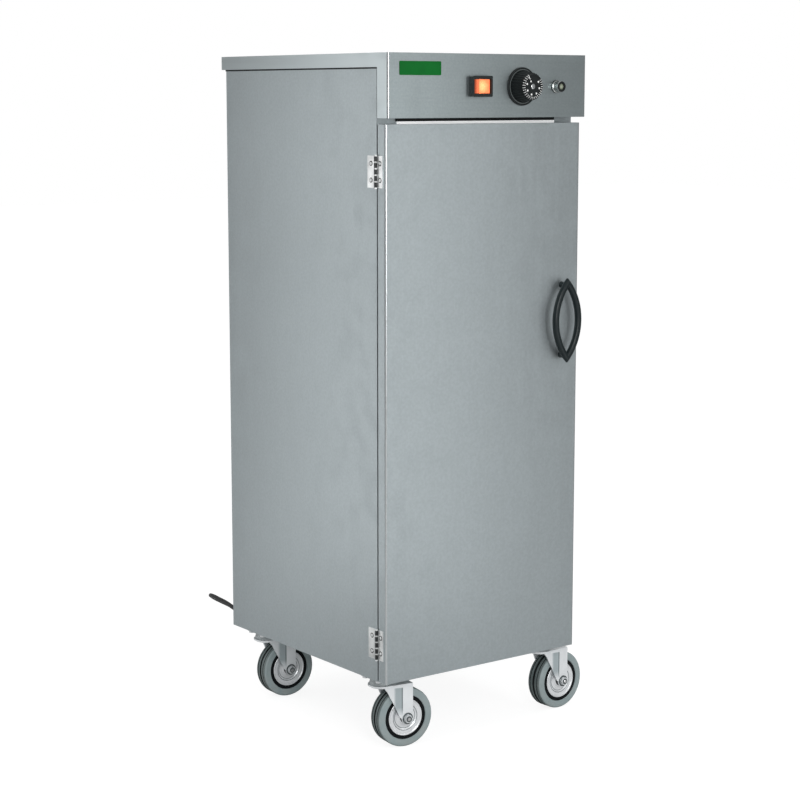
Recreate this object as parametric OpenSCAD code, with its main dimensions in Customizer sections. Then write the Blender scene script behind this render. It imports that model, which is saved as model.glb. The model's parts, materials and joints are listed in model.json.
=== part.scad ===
// Plate warmer cabinet on casters: an insulated steel cabinet with one door, a heated
// chamber with wire shelves, and a control panel folded into the top hood.
// Millimetres. X runs along the front, Y from the door to the back, Z up from the floor.

/* [Cabinet] */
// Width over the side panels
cabinet_w = 400; // [390:5:460]
// Depth from the door's face to the side panels' back edge
cabinet_d = 460; // [450:5:560]
// Height of the body, without its casters
cabinet_h = 1000; // [900:10:1200]
// Thickness of the outer sheet
sheet_t = 1.2; // [1:0.1:1.5]
// Thickness of the base pan's sheet
pan_t = 2; // [1.5:0.1:2.5]
// Height of the base pan's rim
pan_rim = 30; // [24:1:32]
// Width of the flanges that stiffen the side panels
side_flange = 18; // [12:1:22]

/* [Hood] */
// Height of the control panel at the front of the hood
control_h = 100; // [90:1:120]
// How far the hood stands out past each side panel
hood_side = 2.5; // [2:0.1:4]
// How far the control panel stands out in front of the door
hood_front = 9.5; // [6:0.5:14]
// How far the hood reaches past the side panels' back edge
hood_back = 13; // [8:0.5:20]
// Height of the hood's rim along the sides and the back
hood_rim = 22; // [18:1:34]
// Depth of the control panel's folded ends
hood_return = 28; // [24:1:30]
// Radius of the hood's vertical corners
hood_corner_r = 3.5; // [2:0.5:6]

/* [Chamber] */
// Distance from a side panel's face to the chamber
wall_t = 32; // [28:1:36]
// Distance from the side panels' back edge to the chamber
back_t = 35; // [30:1:45]
// Distance from the body's bottom to the chamber's floor
floor_t = 33; // [32:1:40]
// Distance from the control panel's bottom edge to the chamber's ceiling
roof_t = 40; // [36:1:60]
// Thickness of the liner's sheet
liner_t = 1; // [0.8:0.1:1.2]
// Height of the perforated cover over the heating element
cover_h = 45; // [40:1:60]
// Diameter of the heating element's tube
element_d = 8; // [6:0.5:9]
// Distance between the legs of the heating element
element_pitch = 60; // [44:2:64]

/* [Shelves] */
// Diameter of a shelf's frame rod
shelf_rod_d = 6; // [5:0.5:8]
// Diameter of the wires across a shelf
shelf_wire_d = 3; // [2.5:0.5:4]
// Distance between the wires of a shelf
shelf_wire_pitch = 24; // [18:1:30]
// Thickness of the folded runners that carry the shelves
runner_t = 1.2; // [1:0.1:2]
// How far a runner stands in from the chamber's wall
runner_w = 16; // [12:1:24]

/* [Door] */
// Thickness of the door
door_t = 20; // [18:1:24]
// Gap between the door and the control panel above it
door_gap = 9.4; // [4:0.2:12]
// Gap between the closed door and the front frame
frame_gap = 3; // [2:0.1:4]
// Radius of the door's front vertical edges
door_edge_r = 4; // [2:0.5:6]
// Width of the door gasket
gasket_w = 12; // [8:1:14]

/* [Hinges] */
// Height of a hinge
hinge_h = 50; // [40:1:70]
// Distance from the door's top edge to the upper hinge
hinge_top_gap = 48; // [30:1:80]
// Distance from the door's bottom edge to the lower hinge
hinge_bottom_gap = 37; // [30:1:80]
// Reach of the leaf on the door, from the pin's axis
door_leaf_w = 15; // [12:0.5:18]
// Reach of the leaf on the side panel, from the pin's axis
frame_leaf_w = 24; // [16:0.5:30]
// Thickness of the leaves
leaf_t = 1.5; // [1:0.1:2]
// Diameter of the knuckles
knuckle_d = 6; // [5:0.2:7]
// Diameter of the hinge pins
hinge_pin_d = 3; // [2.5:0.1:3.5]

/* [Handle] */
// Height of the handle's eye-shaped loop
handle_h = 141; // [120:1:160]
// Width of the loop
handle_w = 60; // [54:1:70]
// Width of each limb of the loop
handle_limb_w = 11; // [10:0.5:15]
// Thickness of the limbs, front to back
handle_limb_t = 11; // [10:0.5:15]
// Distance from the door's face to the back of the limbs
handle_clearance = 10; // [9:1:30]
// Distance from the door's free edge to the middle of the loop
handle_inset = 37; // [36:1:60]
// Height of the loop's middle above the door's bottom edge
handle_height = 565; // [400:1:700]

/* [Controls] */
// Height of the controls' middle above the control panel's bottom edge
control_z = 49; // [40:1:54]
// Distance from the right side panel's face to the middle of the rocker switch
rocker_inset = 223.5; // [215:0.5:240]
// Width of the rocker switch's housing
rocker_housing_w = 40; // [38:1:48]
// Height of the rocker switch's housing
rocker_housing_h = 33; // [31:1:38]
// How far the rocker switch's housing stands out of the panel
rocker_housing_t = 10.4; // [9:0.2:14]
// Width of the rocker
rocker_w = 31; // [28:0.5:33]
// Height of the rocker
rocker_h = 22; // [18:0.5:25]
// Tilt of the rocker each way
rocker_tilt = 8; // [5:0.5:9]
// Distance from the right side panel's face to the thermostat knob's middle
knob_inset = 135; // [130:1:145]
// Diameter of the knob's fixed bezel
bezel_d = 61; // [58:1:70]
// Thickness of the bezel
bezel_t = 3; // [2:0.5:5]
// Diameter of the thermostat knob at its back
knob_d = 51; // [46:1:54]
// Diameter of the thermostat knob at its face
knob_face_d = 43; // [38:1:45]
// How far the knob's face stands out of the panel
knob_reach = 29; // [24:1:34]
// Number of flutes around the knob
knob_flutes = 30; // [20:1:40]
// Diameter of the thermostat's shaft
shaft_d = 6; // [5:0.5:8]
// Distance from the right side panel's face to the pilot lamp's middle
pilot_inset = 62; // [50:1:70]
// Diameter of the pilot lamp's chrome sleeve
pilot_d = 20; // [18:0.5:24]
// Diameter of the pilot lamp's lens
lens_d = 12; // [10:0.5:13]
// How far the pilot lamp stands out of the panel
pilot_reach = 14; // [10:0.5:18]

/* [Casters] */
// Height of a caster from the floor to its mounting plate's top
caster_h = 125; // [122:1:140]
// Diameter of the wheels
wheel_d = 100; // [90:2:100]
// Width of the tyres
tyre_w = 30; // [26:1:32]
// Height of the tyre's rubber over the wheel core
tyre_t = 13; // [11:1:18]
// Distance from the swivel axis to the wheel's axle
caster_trail = 38; // [30:1:42]
// Size of the square mounting plate
caster_plate_w = 50; // [48:1:60]
// Distance between the bolts of a mounting plate
caster_bolt_pitch = 36; // [36:1:38]
// Diameter of the caster bolts
caster_bolt_d = 6; // [5:0.5:6]
// Thickness of the fork's pressed steel
fork_t = 2.5; // [2:0.1:3]
// Diameter of the axle bolts
axle_d = 8; // [6:0.5:10]
// Distance from a side panel's face to the swivel axes
caster_inset = 30; // [30:1:50]
// Distance from the door's face to the front swivel axes
caster_front_y = 55; // [52:1:80]
// Distance from the back edge to the rear swivel axes
caster_rear_y = 60; // [50:1:90]

/* [Mains lead] */
// Diameter of the mains lead
lead_d = 7.5; // [6:0.5:8]
// Outer radius of the coil, at the middle of the lead
coil_r = 52; // [46:1:56]

/* [Hidden] */
$fn = 48;
e = 0.5;              // how far a cutting solid reaches past the face it cuts
run = 0.05;           // radial clearance of a turning fit
free = 0.3;           // clearance between pieces that move past each other
shelf_count = 3;      // each shelf is a node of its own
frame_lip = 14;       // how far the front frame's lip reaches into the chamber
tray_drop = 12;       // from the control panel's bottom edge down to the control tray

half_w = cabinet_w / 2;
body_z = caster_h;
top_z = body_z + cabinet_h;
frame_y = door_t + frame_gap;
panel_z = top_z - control_h;
door_h = cabinet_h - control_h - door_gap;
inner_x = half_w - sheet_t;

chamber_x = half_w - wall_t;
chamber_y = cabinet_d - back_t;
chamber_z = body_z + floor_t;
ceiling_z = panel_z - roof_t;
cover_z = chamber_z + cover_h;
tray_z = panel_z - tray_drop - sheet_t;

hood_x = half_w + hood_side;
hood_y0 = -hood_front;
hood_y1 = cabinet_d + hood_back;
face_y = hood_y0;
panel_back_y = face_y + sheet_t;
control_mid_z = panel_z + control_z;
rocker_x = half_w - rocker_inset;
knob_x = half_w - knob_inset;
pilot_x = half_w - pilot_inset;
control_deep_y = frame_y - 6;   // back of the switch and the thermostat
knob_wall = 6;        // solid front of the knob, ahead of its bore

hinge_x = -half_w - knuckle_d / 2;
hinge_y = door_t + frame_gap / 2;
knuckle_count = 5;
hinge_zs = [body_z + hinge_bottom_gap, body_z + door_h - hinge_top_gap - hinge_h];

fork_side_gap = 4.5;  // between a tyre's side and the fork's leg
crown_gap = 6.7;      // between a tyre's top and the fork's crown
fork_inner = tyre_w / 2 + fork_side_gap;
crown_z = wheel_d + crown_gap;
fork_end_r = 10;
fork_crease_x = caster_trail - 10;   // where a leg's front wing is bent inward
fork_wing_turn = 8;
king_pin_d = 10;
plate_t = 3;
caster_names = ["fl", "fr", "rl", "rr"];
caster_at = [
    [-half_w + caster_inset, caster_front_y],
    [half_w - caster_inset, caster_front_y],
    [-half_w + caster_inset, cabinet_d - caster_rear_y],
    [half_w - caster_inset, cabinet_d - caster_rear_y]
];
caster_turn = [-8, 2, -3, -5];   // where each caster happens to point

// The box around the cabinet and its casters, which the origin is in the middle of
wheel_reach_x = caster_at[1].x + (caster_trail + wheel_d / 2) * cos(caster_turn[1])
    + tyre_w / 2 * abs(sin(caster_turn[1]));
box_mid = [(wheel_reach_x - half_w - knuckle_d) / 2, (hood_y1 + face_y - knob_reach) / 2];

// The mains lead: it leaves the gland and comes down behind the cabinet to the floor, in
// steps from the gland's end, the third number the share of the gland's height
lead_x = -173;
lead_z = body_z + 17;
gland_nut_t = 7;
gland_taper = 24;
gland_end = [lead_x, cabinet_d + sheet_t + gland_nut_t + gland_taper, lead_z];
lead_steps = [
    [0, 0, 1], [0, 7, 1], [-0.6, 16, 1.013], [-2, 26, 1.035], [-4, 38, 1.054],
    [-5, 53, 1.065], [-4, 68, 1.069], [-1.5, 82, 1.061], [3.5, 95, 1.043],
    [11.5, 107, 1.011], [22, 117, 0.964], [35, 125, 0.909], [50, 131, 0.848],
    [66, 135, 0.783], [82, 137, 0.711], [98, 138, 0.631], [113, 137, 0.544],
    [127, 135, 0.45], [140, 133, 0.356], [153, 130, 0.266], [167, 127, 0.183],
    [183, 123, 0.11], [201, 118.5, 0.052], [220, 113.5, 0.016], [239, 108.5, 0.002],
    [257, 105.2, 0], [272, 104.4, 0], [281, 104.4, 0]
];
lead_route = [for (p = lead_steps)
    [gland_end.x + p.x, gland_end.y + p.y, lead_d / 2 + (lead_z - lead_d / 2) * p.z]];

// ---- Shapes that repeat ----

// A box between two opposite corners
module block(lo, hi) translate(lo) cube(hi - lo);

// The children and their mirror image across the cabinet's middle
module both_sides() {
    children();
    mirror([1, 0, 0]) children();
}

// Turns a shape that stands on Z so that it points to the front
module facing_front(at) translate(at) rotate([90, 0, 0]) children();

// A flat rectangle with round corners
module round_rect(lo, hi, r) {
    translate([lo.x + r, lo.y]) square([hi.x - lo.x - 2 * r, hi.y - lo.y]);
    translate([lo.x, lo.y + r]) square([hi.x - lo.x, hi.y - lo.y - 2 * r]);
    for (x = [lo.x + r, hi.x - r], y = [lo.y + r, hi.y - r]) translate([x, y]) circle(r);
}

// A straight slot with round ends, standing on Z
module slot_2d(w, h) {
    translate([-w / 2, -h / 2 + w / 2]) square([w, h - w]);
    for (y = [-1, 1]) translate([0, y * (h - w) / 2]) circle(d = w);
}

// ---- Sheet metal of the body ----

module hood_plan(inset) {
    round_rect([-hood_x + inset, hood_y0 + inset], [hood_x - inset, hood_y1 - inset],
        hood_corner_r - inset);
}

module top_hood() {
    lip = 12;
    color("darkgray") {
        difference() {
            union() {
                translate([0, 0, top_z - hood_rim]) linear_extrude(hood_rim) hood_plan(0);
                translate([0, 0, panel_z]) linear_extrude(control_h) intersection() {
                    hood_plan(0);
                    translate([-hood_x, hood_y0]) square([2 * hood_x, hood_return]);
                }
            }
            translate([0, 0, panel_z - e]) linear_extrude(control_h + e - sheet_t)
                hood_plan(sheet_t);
            rocker_cutout(face_y - e, panel_back_y + e);
            facing_front([knob_x, panel_back_y + e, control_mid_z])
                cylinder(d = shaft_d + 5, h = sheet_t + 2 * e);
            facing_front([pilot_x, panel_back_y + e, control_mid_z])
                cylinder(d = lens_d + 3, h = sheet_t + 2 * e);
        }
        block([-hood_x + sheet_t, panel_back_y, panel_z],
            [hood_x - sheet_t, panel_back_y + lip, panel_z + sheet_t]);
    }
}

module side_panel() {
    flange_z = body_z + pan_rim;
    block([inner_x, frame_y, body_z], [half_w, cabinet_d, top_z - sheet_t]);
    block([inner_x - side_flange, frame_y + sheet_t, flange_z],
        [inner_x, frame_y + 2 * sheet_t, top_z - sheet_t]);
    block([inner_x - side_flange, cabinet_d - sheet_t, flange_z],
        [inner_x, cabinet_d, top_z - sheet_t]);
}

module side_panel_left() color("silver") mirror([1, 0, 0]) side_panel();

module side_panel_right() color("silver") side_panel();

module rear_panel() {
    slots = 9;
    slot_pitch = 22;
    color("silver") difference() {
        block([-half_w + 1, cabinet_d, body_z], [half_w - 1, cabinet_d + sheet_t, top_z - sheet_t]);
        for (i = [0:slots - 1])
            facing_front([(i - (slots - 1) / 2) * slot_pitch, cabinet_d + sheet_t + e,
                panel_z + 36])
                linear_extrude(sheet_t + 2 * e) slot_2d(5, 32);
        gland_hole(cabinet_d + sheet_t + e, sheet_t + 2 * e);
    }
}

module gland_hole(back_y, depth)
    facing_front([lead_x, back_y, lead_z]) cylinder(d = 13, h = depth);

module base_pan() {
    lo = [-inner_x, frame_y + sheet_t, body_z];
    hi = [inner_x, cabinet_d, body_z + pan_rim];
    color("silver") difference() {
        block(lo, hi);
        block(lo + [pan_t, pan_t, pan_t], hi + [-pan_t, -pan_t, e]);
        for (at = caster_at) caster_bolt_places(at)
            translate([0, 0, body_z - e]) cylinder(d = caster_bolt_d + 0.4, h = pan_t + 2 * e);
        gland_hole(cabinet_d + e, pan_t + 2 * e);
    }
}

module front_frame() {
    window_side = 24;
    window_gap = 12;
    color("silver") {
        difference() {
            block([-inner_x, frame_y, body_z], [inner_x, frame_y + sheet_t, top_z - sheet_t]);
            block([-chamber_x, frame_y - e, chamber_z], [chamber_x, frame_y + sheet_t + e, ceiling_z]);
            block([rocker_x - rocker_housing_w / 2 - window_side, frame_y - e, panel_z + window_gap],
                [pilot_x + window_side, frame_y + sheet_t + e, top_z - window_gap]);
        }
        difference() {
            block([-chamber_x, frame_y, chamber_z], [chamber_x, frame_y + frame_lip, ceiling_z]);
            block([-chamber_x + sheet_t, frame_y - e, chamber_z + sheet_t],
                [chamber_x - sheet_t, frame_y + frame_lip + e, ceiling_z - sheet_t]);
        }
    }
}

// ---- Liner and insulation of the chamber ----

module liner_side() {
    block([chamber_x, frame_y + sheet_t, chamber_z - liner_t],
        [chamber_x + liner_t, chamber_y, ceiling_z + liner_t]);
}

module liner_left() color("lightgray") mirror([1, 0, 0]) liner_side();

module liner_right() color("lightgray") liner_side();

module liner_back() {
    color("lightgray") difference() {
        block([-chamber_x - liner_t, chamber_y, chamber_z - liner_t],
            [chamber_x + liner_t, chamber_y + liner_t, ceiling_z + liner_t]);
        both_sides() facing_front([element_pitch * 1.5, chamber_y + liner_t + e, element_z])
            cylinder(d = element_d + 2, h = liner_t + 2 * e);
    }
}

module liner_floor() {
    color("lightgray")
        block([-chamber_x, frame_y + sheet_t, chamber_z - liner_t], [chamber_x, chamber_y, chamber_z]);
}

module liner_ceiling() {
    color("lightgray") difference() {
        block([-chamber_x, frame_y + sheet_t, ceiling_z],
            [chamber_x, chamber_y, ceiling_z + liner_t]);
        capillary_hole(ceiling_z - e, liner_t + 2 * e);
    }
}

// Mats of mineral wool: one wrapped round the sides and back, one over the top, one below
module insulation() {
    mat_gap = 0.5;
    flange_back_y = frame_y + 2 * sheet_t;
    wrap_x = chamber_x + liner_t;
    wrap_z = chamber_z - liner_t;
    mat_top_z = tray_z;
    below_z = body_z + pan_t + 5;
    color("khaki") {
        difference() {
            block([-inner_x, flange_back_y, wrap_z], [inner_x, cabinet_d - sheet_t, mat_top_z]);
            block([-wrap_x, flange_back_y - e, wrap_z - e],
                [wrap_x, chamber_y + liner_t, mat_top_z + e]);
            both_sides() facing_front([element_pitch * 1.5, element_end_y + 3, element_z])
                cylinder(d = element_d + 10, h = element_end_y + 3 - chamber_y);
        }
        difference() {
            block([-wrap_x + mat_gap, flange_back_y, ceiling_z + liner_t],
                [wrap_x - mat_gap, chamber_y + liner_t - mat_gap, mat_top_z]);
            capillary_hole(ceiling_z, mat_top_z - ceiling_z + e);
        }
        difference() {
            block([-inner_x + pan_t, frame_y + sheet_t + pan_t, below_z],
                [inner_x - pan_t, cabinet_d - pan_t, wrap_z - mat_gap]);
            block([-inner_x, terminal_at.y - 20, below_z - e],
                [terminal_at.x + terminal_w + 2, cabinet_d - pan_t + e, wrap_z - 4]);
        }
    }
}

module control_tray() {
    color("silver") difference() {
        block([-inner_x, frame_y + 2 * sheet_t, tray_z],
            [inner_x, cabinet_d - sheet_t, tray_z + sheet_t]);
        capillary_hole(tray_z - e, sheet_t + 2 * e);
    }
}

// ---- Shelves and their runners ----

function shelf_z(i) = cover_z + i * (ceiling_z - cover_z) / (shelf_count + 1);

shelf_y = [frame_y + frame_lip + 12, chamber_y - 8];
shelf_x = chamber_x - runner_t - 2 * free - shelf_rod_d / 2;

// Folded strips on the chamber's wall, each with a low stop in front of its shelf
module shelf_runners() {
    rise = 14;
    stop_h = 4;
    y0 = shelf_y[0] - shelf_rod_d / 2 - runner_t - 2;
    for (i = [1:shelf_count]) {
        seat_z = shelf_z(i) - shelf_rod_d / 2;
        block([chamber_x - runner_w, y0, seat_z - runner_t], [chamber_x, shelf_y[1], seat_z]);
        block([chamber_x - runner_t, y0, seat_z - runner_t],
            [chamber_x, shelf_y[1], seat_z + rise]);
        block([chamber_x - runner_w, y0, seat_z - runner_t],
            [chamber_x, y0 + runner_t, seat_z + stop_h]);
    }
}

module shelf_runners_left() color("lightgray") mirror([1, 0, 0]) shelf_runners();

module shelf_runners_right() color("lightgray") shelf_runners();

// A wire shelf: a rod frame with round corners, and wires from front to back
module wire_shelf(z) {
    x = shelf_x;
    y0 = shelf_y[0];
    y1 = shelf_y[1];
    corner = 14;
    wires = floor((x - shelf_rod_d) / shelf_wire_pitch);
    color("gainsboro") translate([0, 0, z]) {
        for (y = [y0, y1]) translate([-x + corner, y, 0]) rotate([0, 90, 0])
            cylinder(d = shelf_rod_d, h = 2 * (x - corner));
        for (s = [-1, 1]) translate([s * x, y0 + corner, 0]) rotate([-90, 0, 0])
            cylinder(d = shelf_rod_d, h = y1 - y0 - 2 * corner);
        shelf_corner([x - corner, y1 - corner], 0);
        shelf_corner([-x + corner, y1 - corner], 90);
        shelf_corner([-x + corner, y0 + corner], 180);
        shelf_corner([x - corner, y0 + corner], 270);
        for (i = [-wires:wires]) translate([i * shelf_wire_pitch, y0, shelf_wire_d / 2 + 0.3])
            rotate([-90, 0, 0]) cylinder(d = shelf_wire_d, h = y1 - y0);
    }
    module shelf_corner(at, turn) {
        translate(at) rotate([0, 0, turn]) rotate_extrude(angle = 90)
            translate([corner, 0]) circle(d = shelf_rod_d);
    }
}

// ---- Heating and its thermostat ----

element_z = chamber_z + cover_h * 4 / 9;
element_end_y = chamber_y + back_t / 2;

// A tube bent into four legs, its ends through the back liner, on two low supports
module heating_element() {
    front_y = frame_y + frame_lip + element_pitch;
    back_y = chamber_y - element_pitch;
    bend_r = element_pitch / 2;
    support_step = element_pitch / 3;
    support_t = 1.5 * liner_t;
    support_x = 1.5 * element_pitch + element_d;
    color("dimgray") {
        translate([0, 0, element_z]) {
            for (s = [-1, 1]) {
                translate([s * 1.5 * element_pitch, front_y, 0]) rotate([-90, 0, 0])
                    cylinder(d = element_d, h = element_end_y - front_y);
                translate([s * element_pitch / 2, front_y, 0]) rotate([-90, 0, 0])
                    cylinder(d = element_d, h = back_y - front_y);
                translate([s * element_pitch, front_y, 0]) rotate([0, 0, 180])
                    element_bend(bend_r);
                translate([s * 1.5 * element_pitch, chamber_y, 0]) rotate([90, 0, 0])
                    cylinder(d = element_d + 6, h = 3);
            }
            translate([0, back_y, 0]) element_bend(bend_r);
        }
        for (y = [front_y + support_step, back_y - support_step])
            block([-support_x, y, chamber_z], [support_x, y + support_t, element_z]);
    }
}

module element_bend(r)
    rotate_extrude(angle = 180) translate([r, 0]) circle(d = element_d);

module element_cover() {
    x = chamber_x - 3;
    y0 = frame_y + frame_lip + 10;
    y1 = chamber_y - 8;
    pitch = 42;
    margin = 15;
    columns = floor(2 * (x - margin) / pitch);
    rows = floor((y1 - y0 - 2 * margin) / pitch);
    color("lightgray") {
        difference() {
            block([-x, y0, cover_z - liner_t], [x, y1, cover_z]);
            for (i = [0:columns - 1], j = [0:rows - 1])
                translate([(i - (columns - 1) / 2) * pitch, (y0 + y1) / 2
                    + (j - (rows - 1) / 2) * pitch, cover_z - liner_t - e])
                    cylinder(d = 14, h = liner_t + 2 * e, $fn = 24);
        }
        both_sides() block([x - liner_t, y0, chamber_z], [x, y1, cover_z - liner_t]);
    }
}

capillary_d = 2;
capillary_y = 90;

module capillary_hole(z, h)
    translate([knob_x, capillary_y, z]) cylinder(d = capillary_d + 2, h = h);

// The sensing bulb clipped under the ceiling, and the fine tube up to the thermostat
module thermostat_bulb() {
    bulb_z = ceiling_z - 8;
    bulb_l = 80;
    color("peru") {
        translate([knob_x, control_deep_y, control_mid_z]) rotate([-90, 0, 0])
            cylinder(d = capillary_d, h = capillary_y - control_deep_y);
        translate([knob_x, capillary_y, control_mid_z]) sphere(d = capillary_d, $fn = 24);
        translate([knob_x, capillary_y, bulb_z]) cylinder(d = capillary_d, h = control_mid_z - bulb_z);
        translate([knob_x, capillary_y - 3, bulb_z]) rotate([-90, 0, 0]) cylinder(d = 6, h = bulb_l);
        for (y = [22, bulb_l - 18])
            block([knob_x - 1, capillary_y + y, bulb_z], [knob_x + 1, capillary_y + y + 8, ceiling_z]);
    }
}

module thermostat_body() {
    w = 44;
    h = 34;
    boss_d = 10;
    color("ivory") difference() {
        union() {
            block([knob_x - w / 2, panel_back_y, control_mid_z - h / 2],
                [knob_x + w / 2, control_deep_y, control_mid_z + h / 2]);
            facing_front([knob_x, panel_back_y, control_mid_z]) cylinder(d = boss_d, h = 3);
        }
        facing_front([knob_x, control_deep_y - 4, control_mid_z])
            cylinder(d = shaft_d + 2 * run, h = control_deep_y - face_y);
    }
}

module thermostat_shaft() {
    back = control_deep_y - 5;
    color("silver") facing_front([knob_x, back, control_mid_z])
        cylinder(d = shaft_d, h = back - face_y + knob_reach - knob_wall);
}

// ---- Controls on the panel ----

module knob_bezel() {
    color("black") facing_front([knob_x, face_y, control_mid_z]) difference() {
        union() {
            cylinder(d = bezel_d, h = bezel_t - 1, $fn = 96);
            translate([0, 0, bezel_t - 1]) cylinder(d1 = bezel_d, d2 = bezel_d - 2, h = 1, $fn = 96);
        }
        translate([0, 0, -e]) cylinder(d = shaft_d + 6, h = bezel_t + 2 * e);
    }
}

// A fluted, tapered knob with a chamfered face, a shallow dial recess and a blind bore for the shaft
module thermostat_knob() {
    chamfer = 2.5;
    recess = 0.8;
    back = bezel_t + free;
    grip_h = knob_reach - back - chamfer;
    taper = atan((knob_d - knob_face_d) / 2 / grip_h);
    color("black") facing_front([knob_x, face_y, control_mid_z]) difference() {
        union() {
            difference() {
                translate([0, 0, back])
                    cylinder(d1 = knob_d, d2 = knob_face_d, h = grip_h, $fn = 96);
                for (i = [0:knob_flutes - 1]) rotate(i * 360 / knob_flutes)
                    translate([knob_d / 2 + 0.6, 0, back]) rotate([0, -taper, 0])
                        translate([0, 0, -1]) cylinder(r = 1.7, h = grip_h + 3, $fn = 24);
            }
            translate([0, 0, back + grip_h])
                cylinder(d1 = knob_face_d - 2.2, d2 = knob_face_d - 4.2, h = chamfer, $fn = 96);
        }
        translate([0, 0, knob_reach - recess])
            cylinder(d = knob_face_d - 7, h = recess + e, $fn = 96);
        translate([0, 0, back - e]) cylinder(d = shaft_d, h = knob_reach - knob_wall - back + e);
    }
}

module rocker_cutout(y0, y1) {
    clearance = 0.2;
    block([rocker_x - rocker_housing_w / 2 + 3 - clearance, y0,
            control_mid_z - rocker_housing_h / 2 + 3 - clearance],
        [rocker_x + rocker_housing_w / 2 - 3 + clearance, y1,
            control_mid_z + rocker_housing_h / 2 - 3 + clearance]);
}

rocker_pivot_y = face_y - 3;
rocker_pin_d = 3;

module rocker_housing() {
    front = face_y - rocker_housing_t;
    cavity_deep = face_y + 5;
    color("black") difference() {
        union() {
            facing_front([rocker_x, face_y, control_mid_z]) linear_extrude(rocker_housing_t)
                round_rect([-rocker_housing_w / 2, -rocker_housing_h / 2],
                    [rocker_housing_w / 2, rocker_housing_h / 2], 2);
            block([rocker_x - rocker_housing_w / 2 + 3, face_y,
                    control_mid_z - rocker_housing_h / 2 + 3],
                [rocker_x + rocker_housing_w / 2 - 3, control_deep_y,
                    control_mid_z + rocker_housing_h / 2 - 3]);
        }
        block([rocker_x - rocker_w / 2 - 1.5, front - e, control_mid_z - rocker_h / 2 - 0.5],
            [rocker_x + rocker_w / 2 + 1.5, cavity_deep, control_mid_z + rocker_h / 2 + 0.5]);
        translate([rocker_x, rocker_pivot_y, control_mid_z])
            cylinder(d = rocker_pin_d + 2 * run, h = rocker_h + 6, center = true);
    }
}

// The rocker, tilted to its ON side, with its two pivot pins
module rocker_button() {
    crest = rocker_pivot_y - face_y + rocker_housing_t - 2.5;
    side = crest + 1.5;
    color("orange") translate([rocker_x, rocker_pivot_y, control_mid_z]) rotate(rocker_tilt) {
        translate([0, 0, -rocker_h / 2]) linear_extrude(rocker_h) polygon([
            [-rocker_w / 2, -side], [-rocker_w / 4, -crest - 0.4], [0, -crest],
            [rocker_w / 4, -crest - 0.4], [rocker_w / 2, -side],
            [rocker_w / 2, 1], [4, 5], [-4, 5], [-rocker_w / 2, 1]
        ]);
        cylinder(d = rocker_pin_d, h = rocker_h + 5, center = true);
    }
}

// A stepped sleeve through the panel, held by a nut behind it
module pilot_sleeve() {
    color("gainsboro") facing_front([pilot_x, face_y, control_mid_z]) difference() {
        union() {
            cylinder(d = pilot_d, h = 3);
            translate([0, 0, 3]) cylinder(d1 = pilot_d, d2 = pilot_d - 3, h = 1);
            translate([0, 0, 4]) cylinder(d = pilot_d - 2.5, h = pilot_reach - 5);
            translate([0, 0, pilot_reach - 1])
                cylinder(d1 = pilot_d - 2.5, d2 = pilot_d - 4.5, h = 1);
            translate([0, 0, -12]) cylinder(d = lens_d + 2.6, h = 12);
            translate([0, 0, -sheet_t - 4]) cylinder(d = lens_d + 10, h = 4, $fn = 6);
        }
        translate([0, 0, -12 - e]) cylinder(d = lens_d, h = pilot_reach + 12 + 2 * e);
    }
}

module pilot_lens() {
    color("darkseagreen") facing_front([pilot_x, face_y, control_mid_z]) {
        translate([0, 0, -20]) cylinder(d = lens_d, h = 18 + pilot_reach);
        translate([0, 0, pilot_reach - 2]) cylinder(d1 = lens_d, d2 = lens_d - 4, h = 1.2);
    }
}

terminal_ways = 3;
terminal_pitch = 15;
terminal_w = terminal_ways * terminal_pitch + 4;
terminal_step = [40, -60];   // from the back edge at the gland
terminal_at = [lead_x + terminal_step.x, cabinet_d + terminal_step.y, body_z + pan_t];

// A row of screw terminals on the base pan, where the mains lead comes in
module terminal_block() {
    depth = 20;
    base_h = 14;
    color("white") translate(terminal_at) {
        difference() {
            cube([terminal_w, depth, base_h]);
            for (i = [0:terminal_ways - 1])
                translate([i * terminal_pitch + terminal_pitch / 2 + 2, depth / 2, base_h - 6])
                    cylinder(d = 7, h = 6 + e);
        }
        for (i = [0:terminal_ways]) translate([i * terminal_pitch, 0, base_h]) cube([4, depth, 3]);
    }
}

module catch_magnet() {
    h = 50;
    x = (chamber_x + inner_x) / 2;
    color("dimgray") block([x + 1, door_t + 0.7 + free, body_z + handle_height - h / 2],
        [inner_x - 1.5, frame_y, body_z + handle_height + h / 2]);
}

module strike_plate() {
    h = 54;
    x = (chamber_x + inner_x) / 2;
    color("gainsboro") block([x, door_t, body_z + handle_height - h / 2],
        [inner_x - 1, door_t + 0.7, body_z + handle_height + h / 2]);
}

// ---- Door ----

// The door's section: a rectangle whose two front corners are round
module door_section(inset) {
    r = door_edge_r - inset;
    x = half_w - inset;
    translate([-x, inset + r]) square([2 * x, door_t - inset - r]);
    translate([-x + r, inset]) square([2 * (x - r), r]);
    for (s = [-1, 1]) translate([s * (x - r), inset + r]) circle(r);
}

module door_skin() {
    color("silver") translate([0, 0, body_z]) difference() {
        linear_extrude(door_h) door_section(0);
        translate([0, 0, sheet_t]) linear_extrude(door_h - 2 * sheet_t) union() {
            door_section(sheet_t);
            translate([-inner_x, door_t / 2]) square([2 * inner_x, door_t]);
        }
    }
}

module door_inner_pan() {
    color("lightgray") block([-inner_x, door_t - sheet_t, body_z + sheet_t],
        [inner_x, door_t, body_z + door_h - sheet_t]);
}

module door_insulation() {
    color("khaki") translate([0, 0, body_z + sheet_t])
        linear_extrude(door_h - 2 * sheet_t) intersection() {
            door_section(sheet_t);
            translate([-half_w, 0]) square([cabinet_w, door_t - sheet_t]);
        }
}

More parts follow.
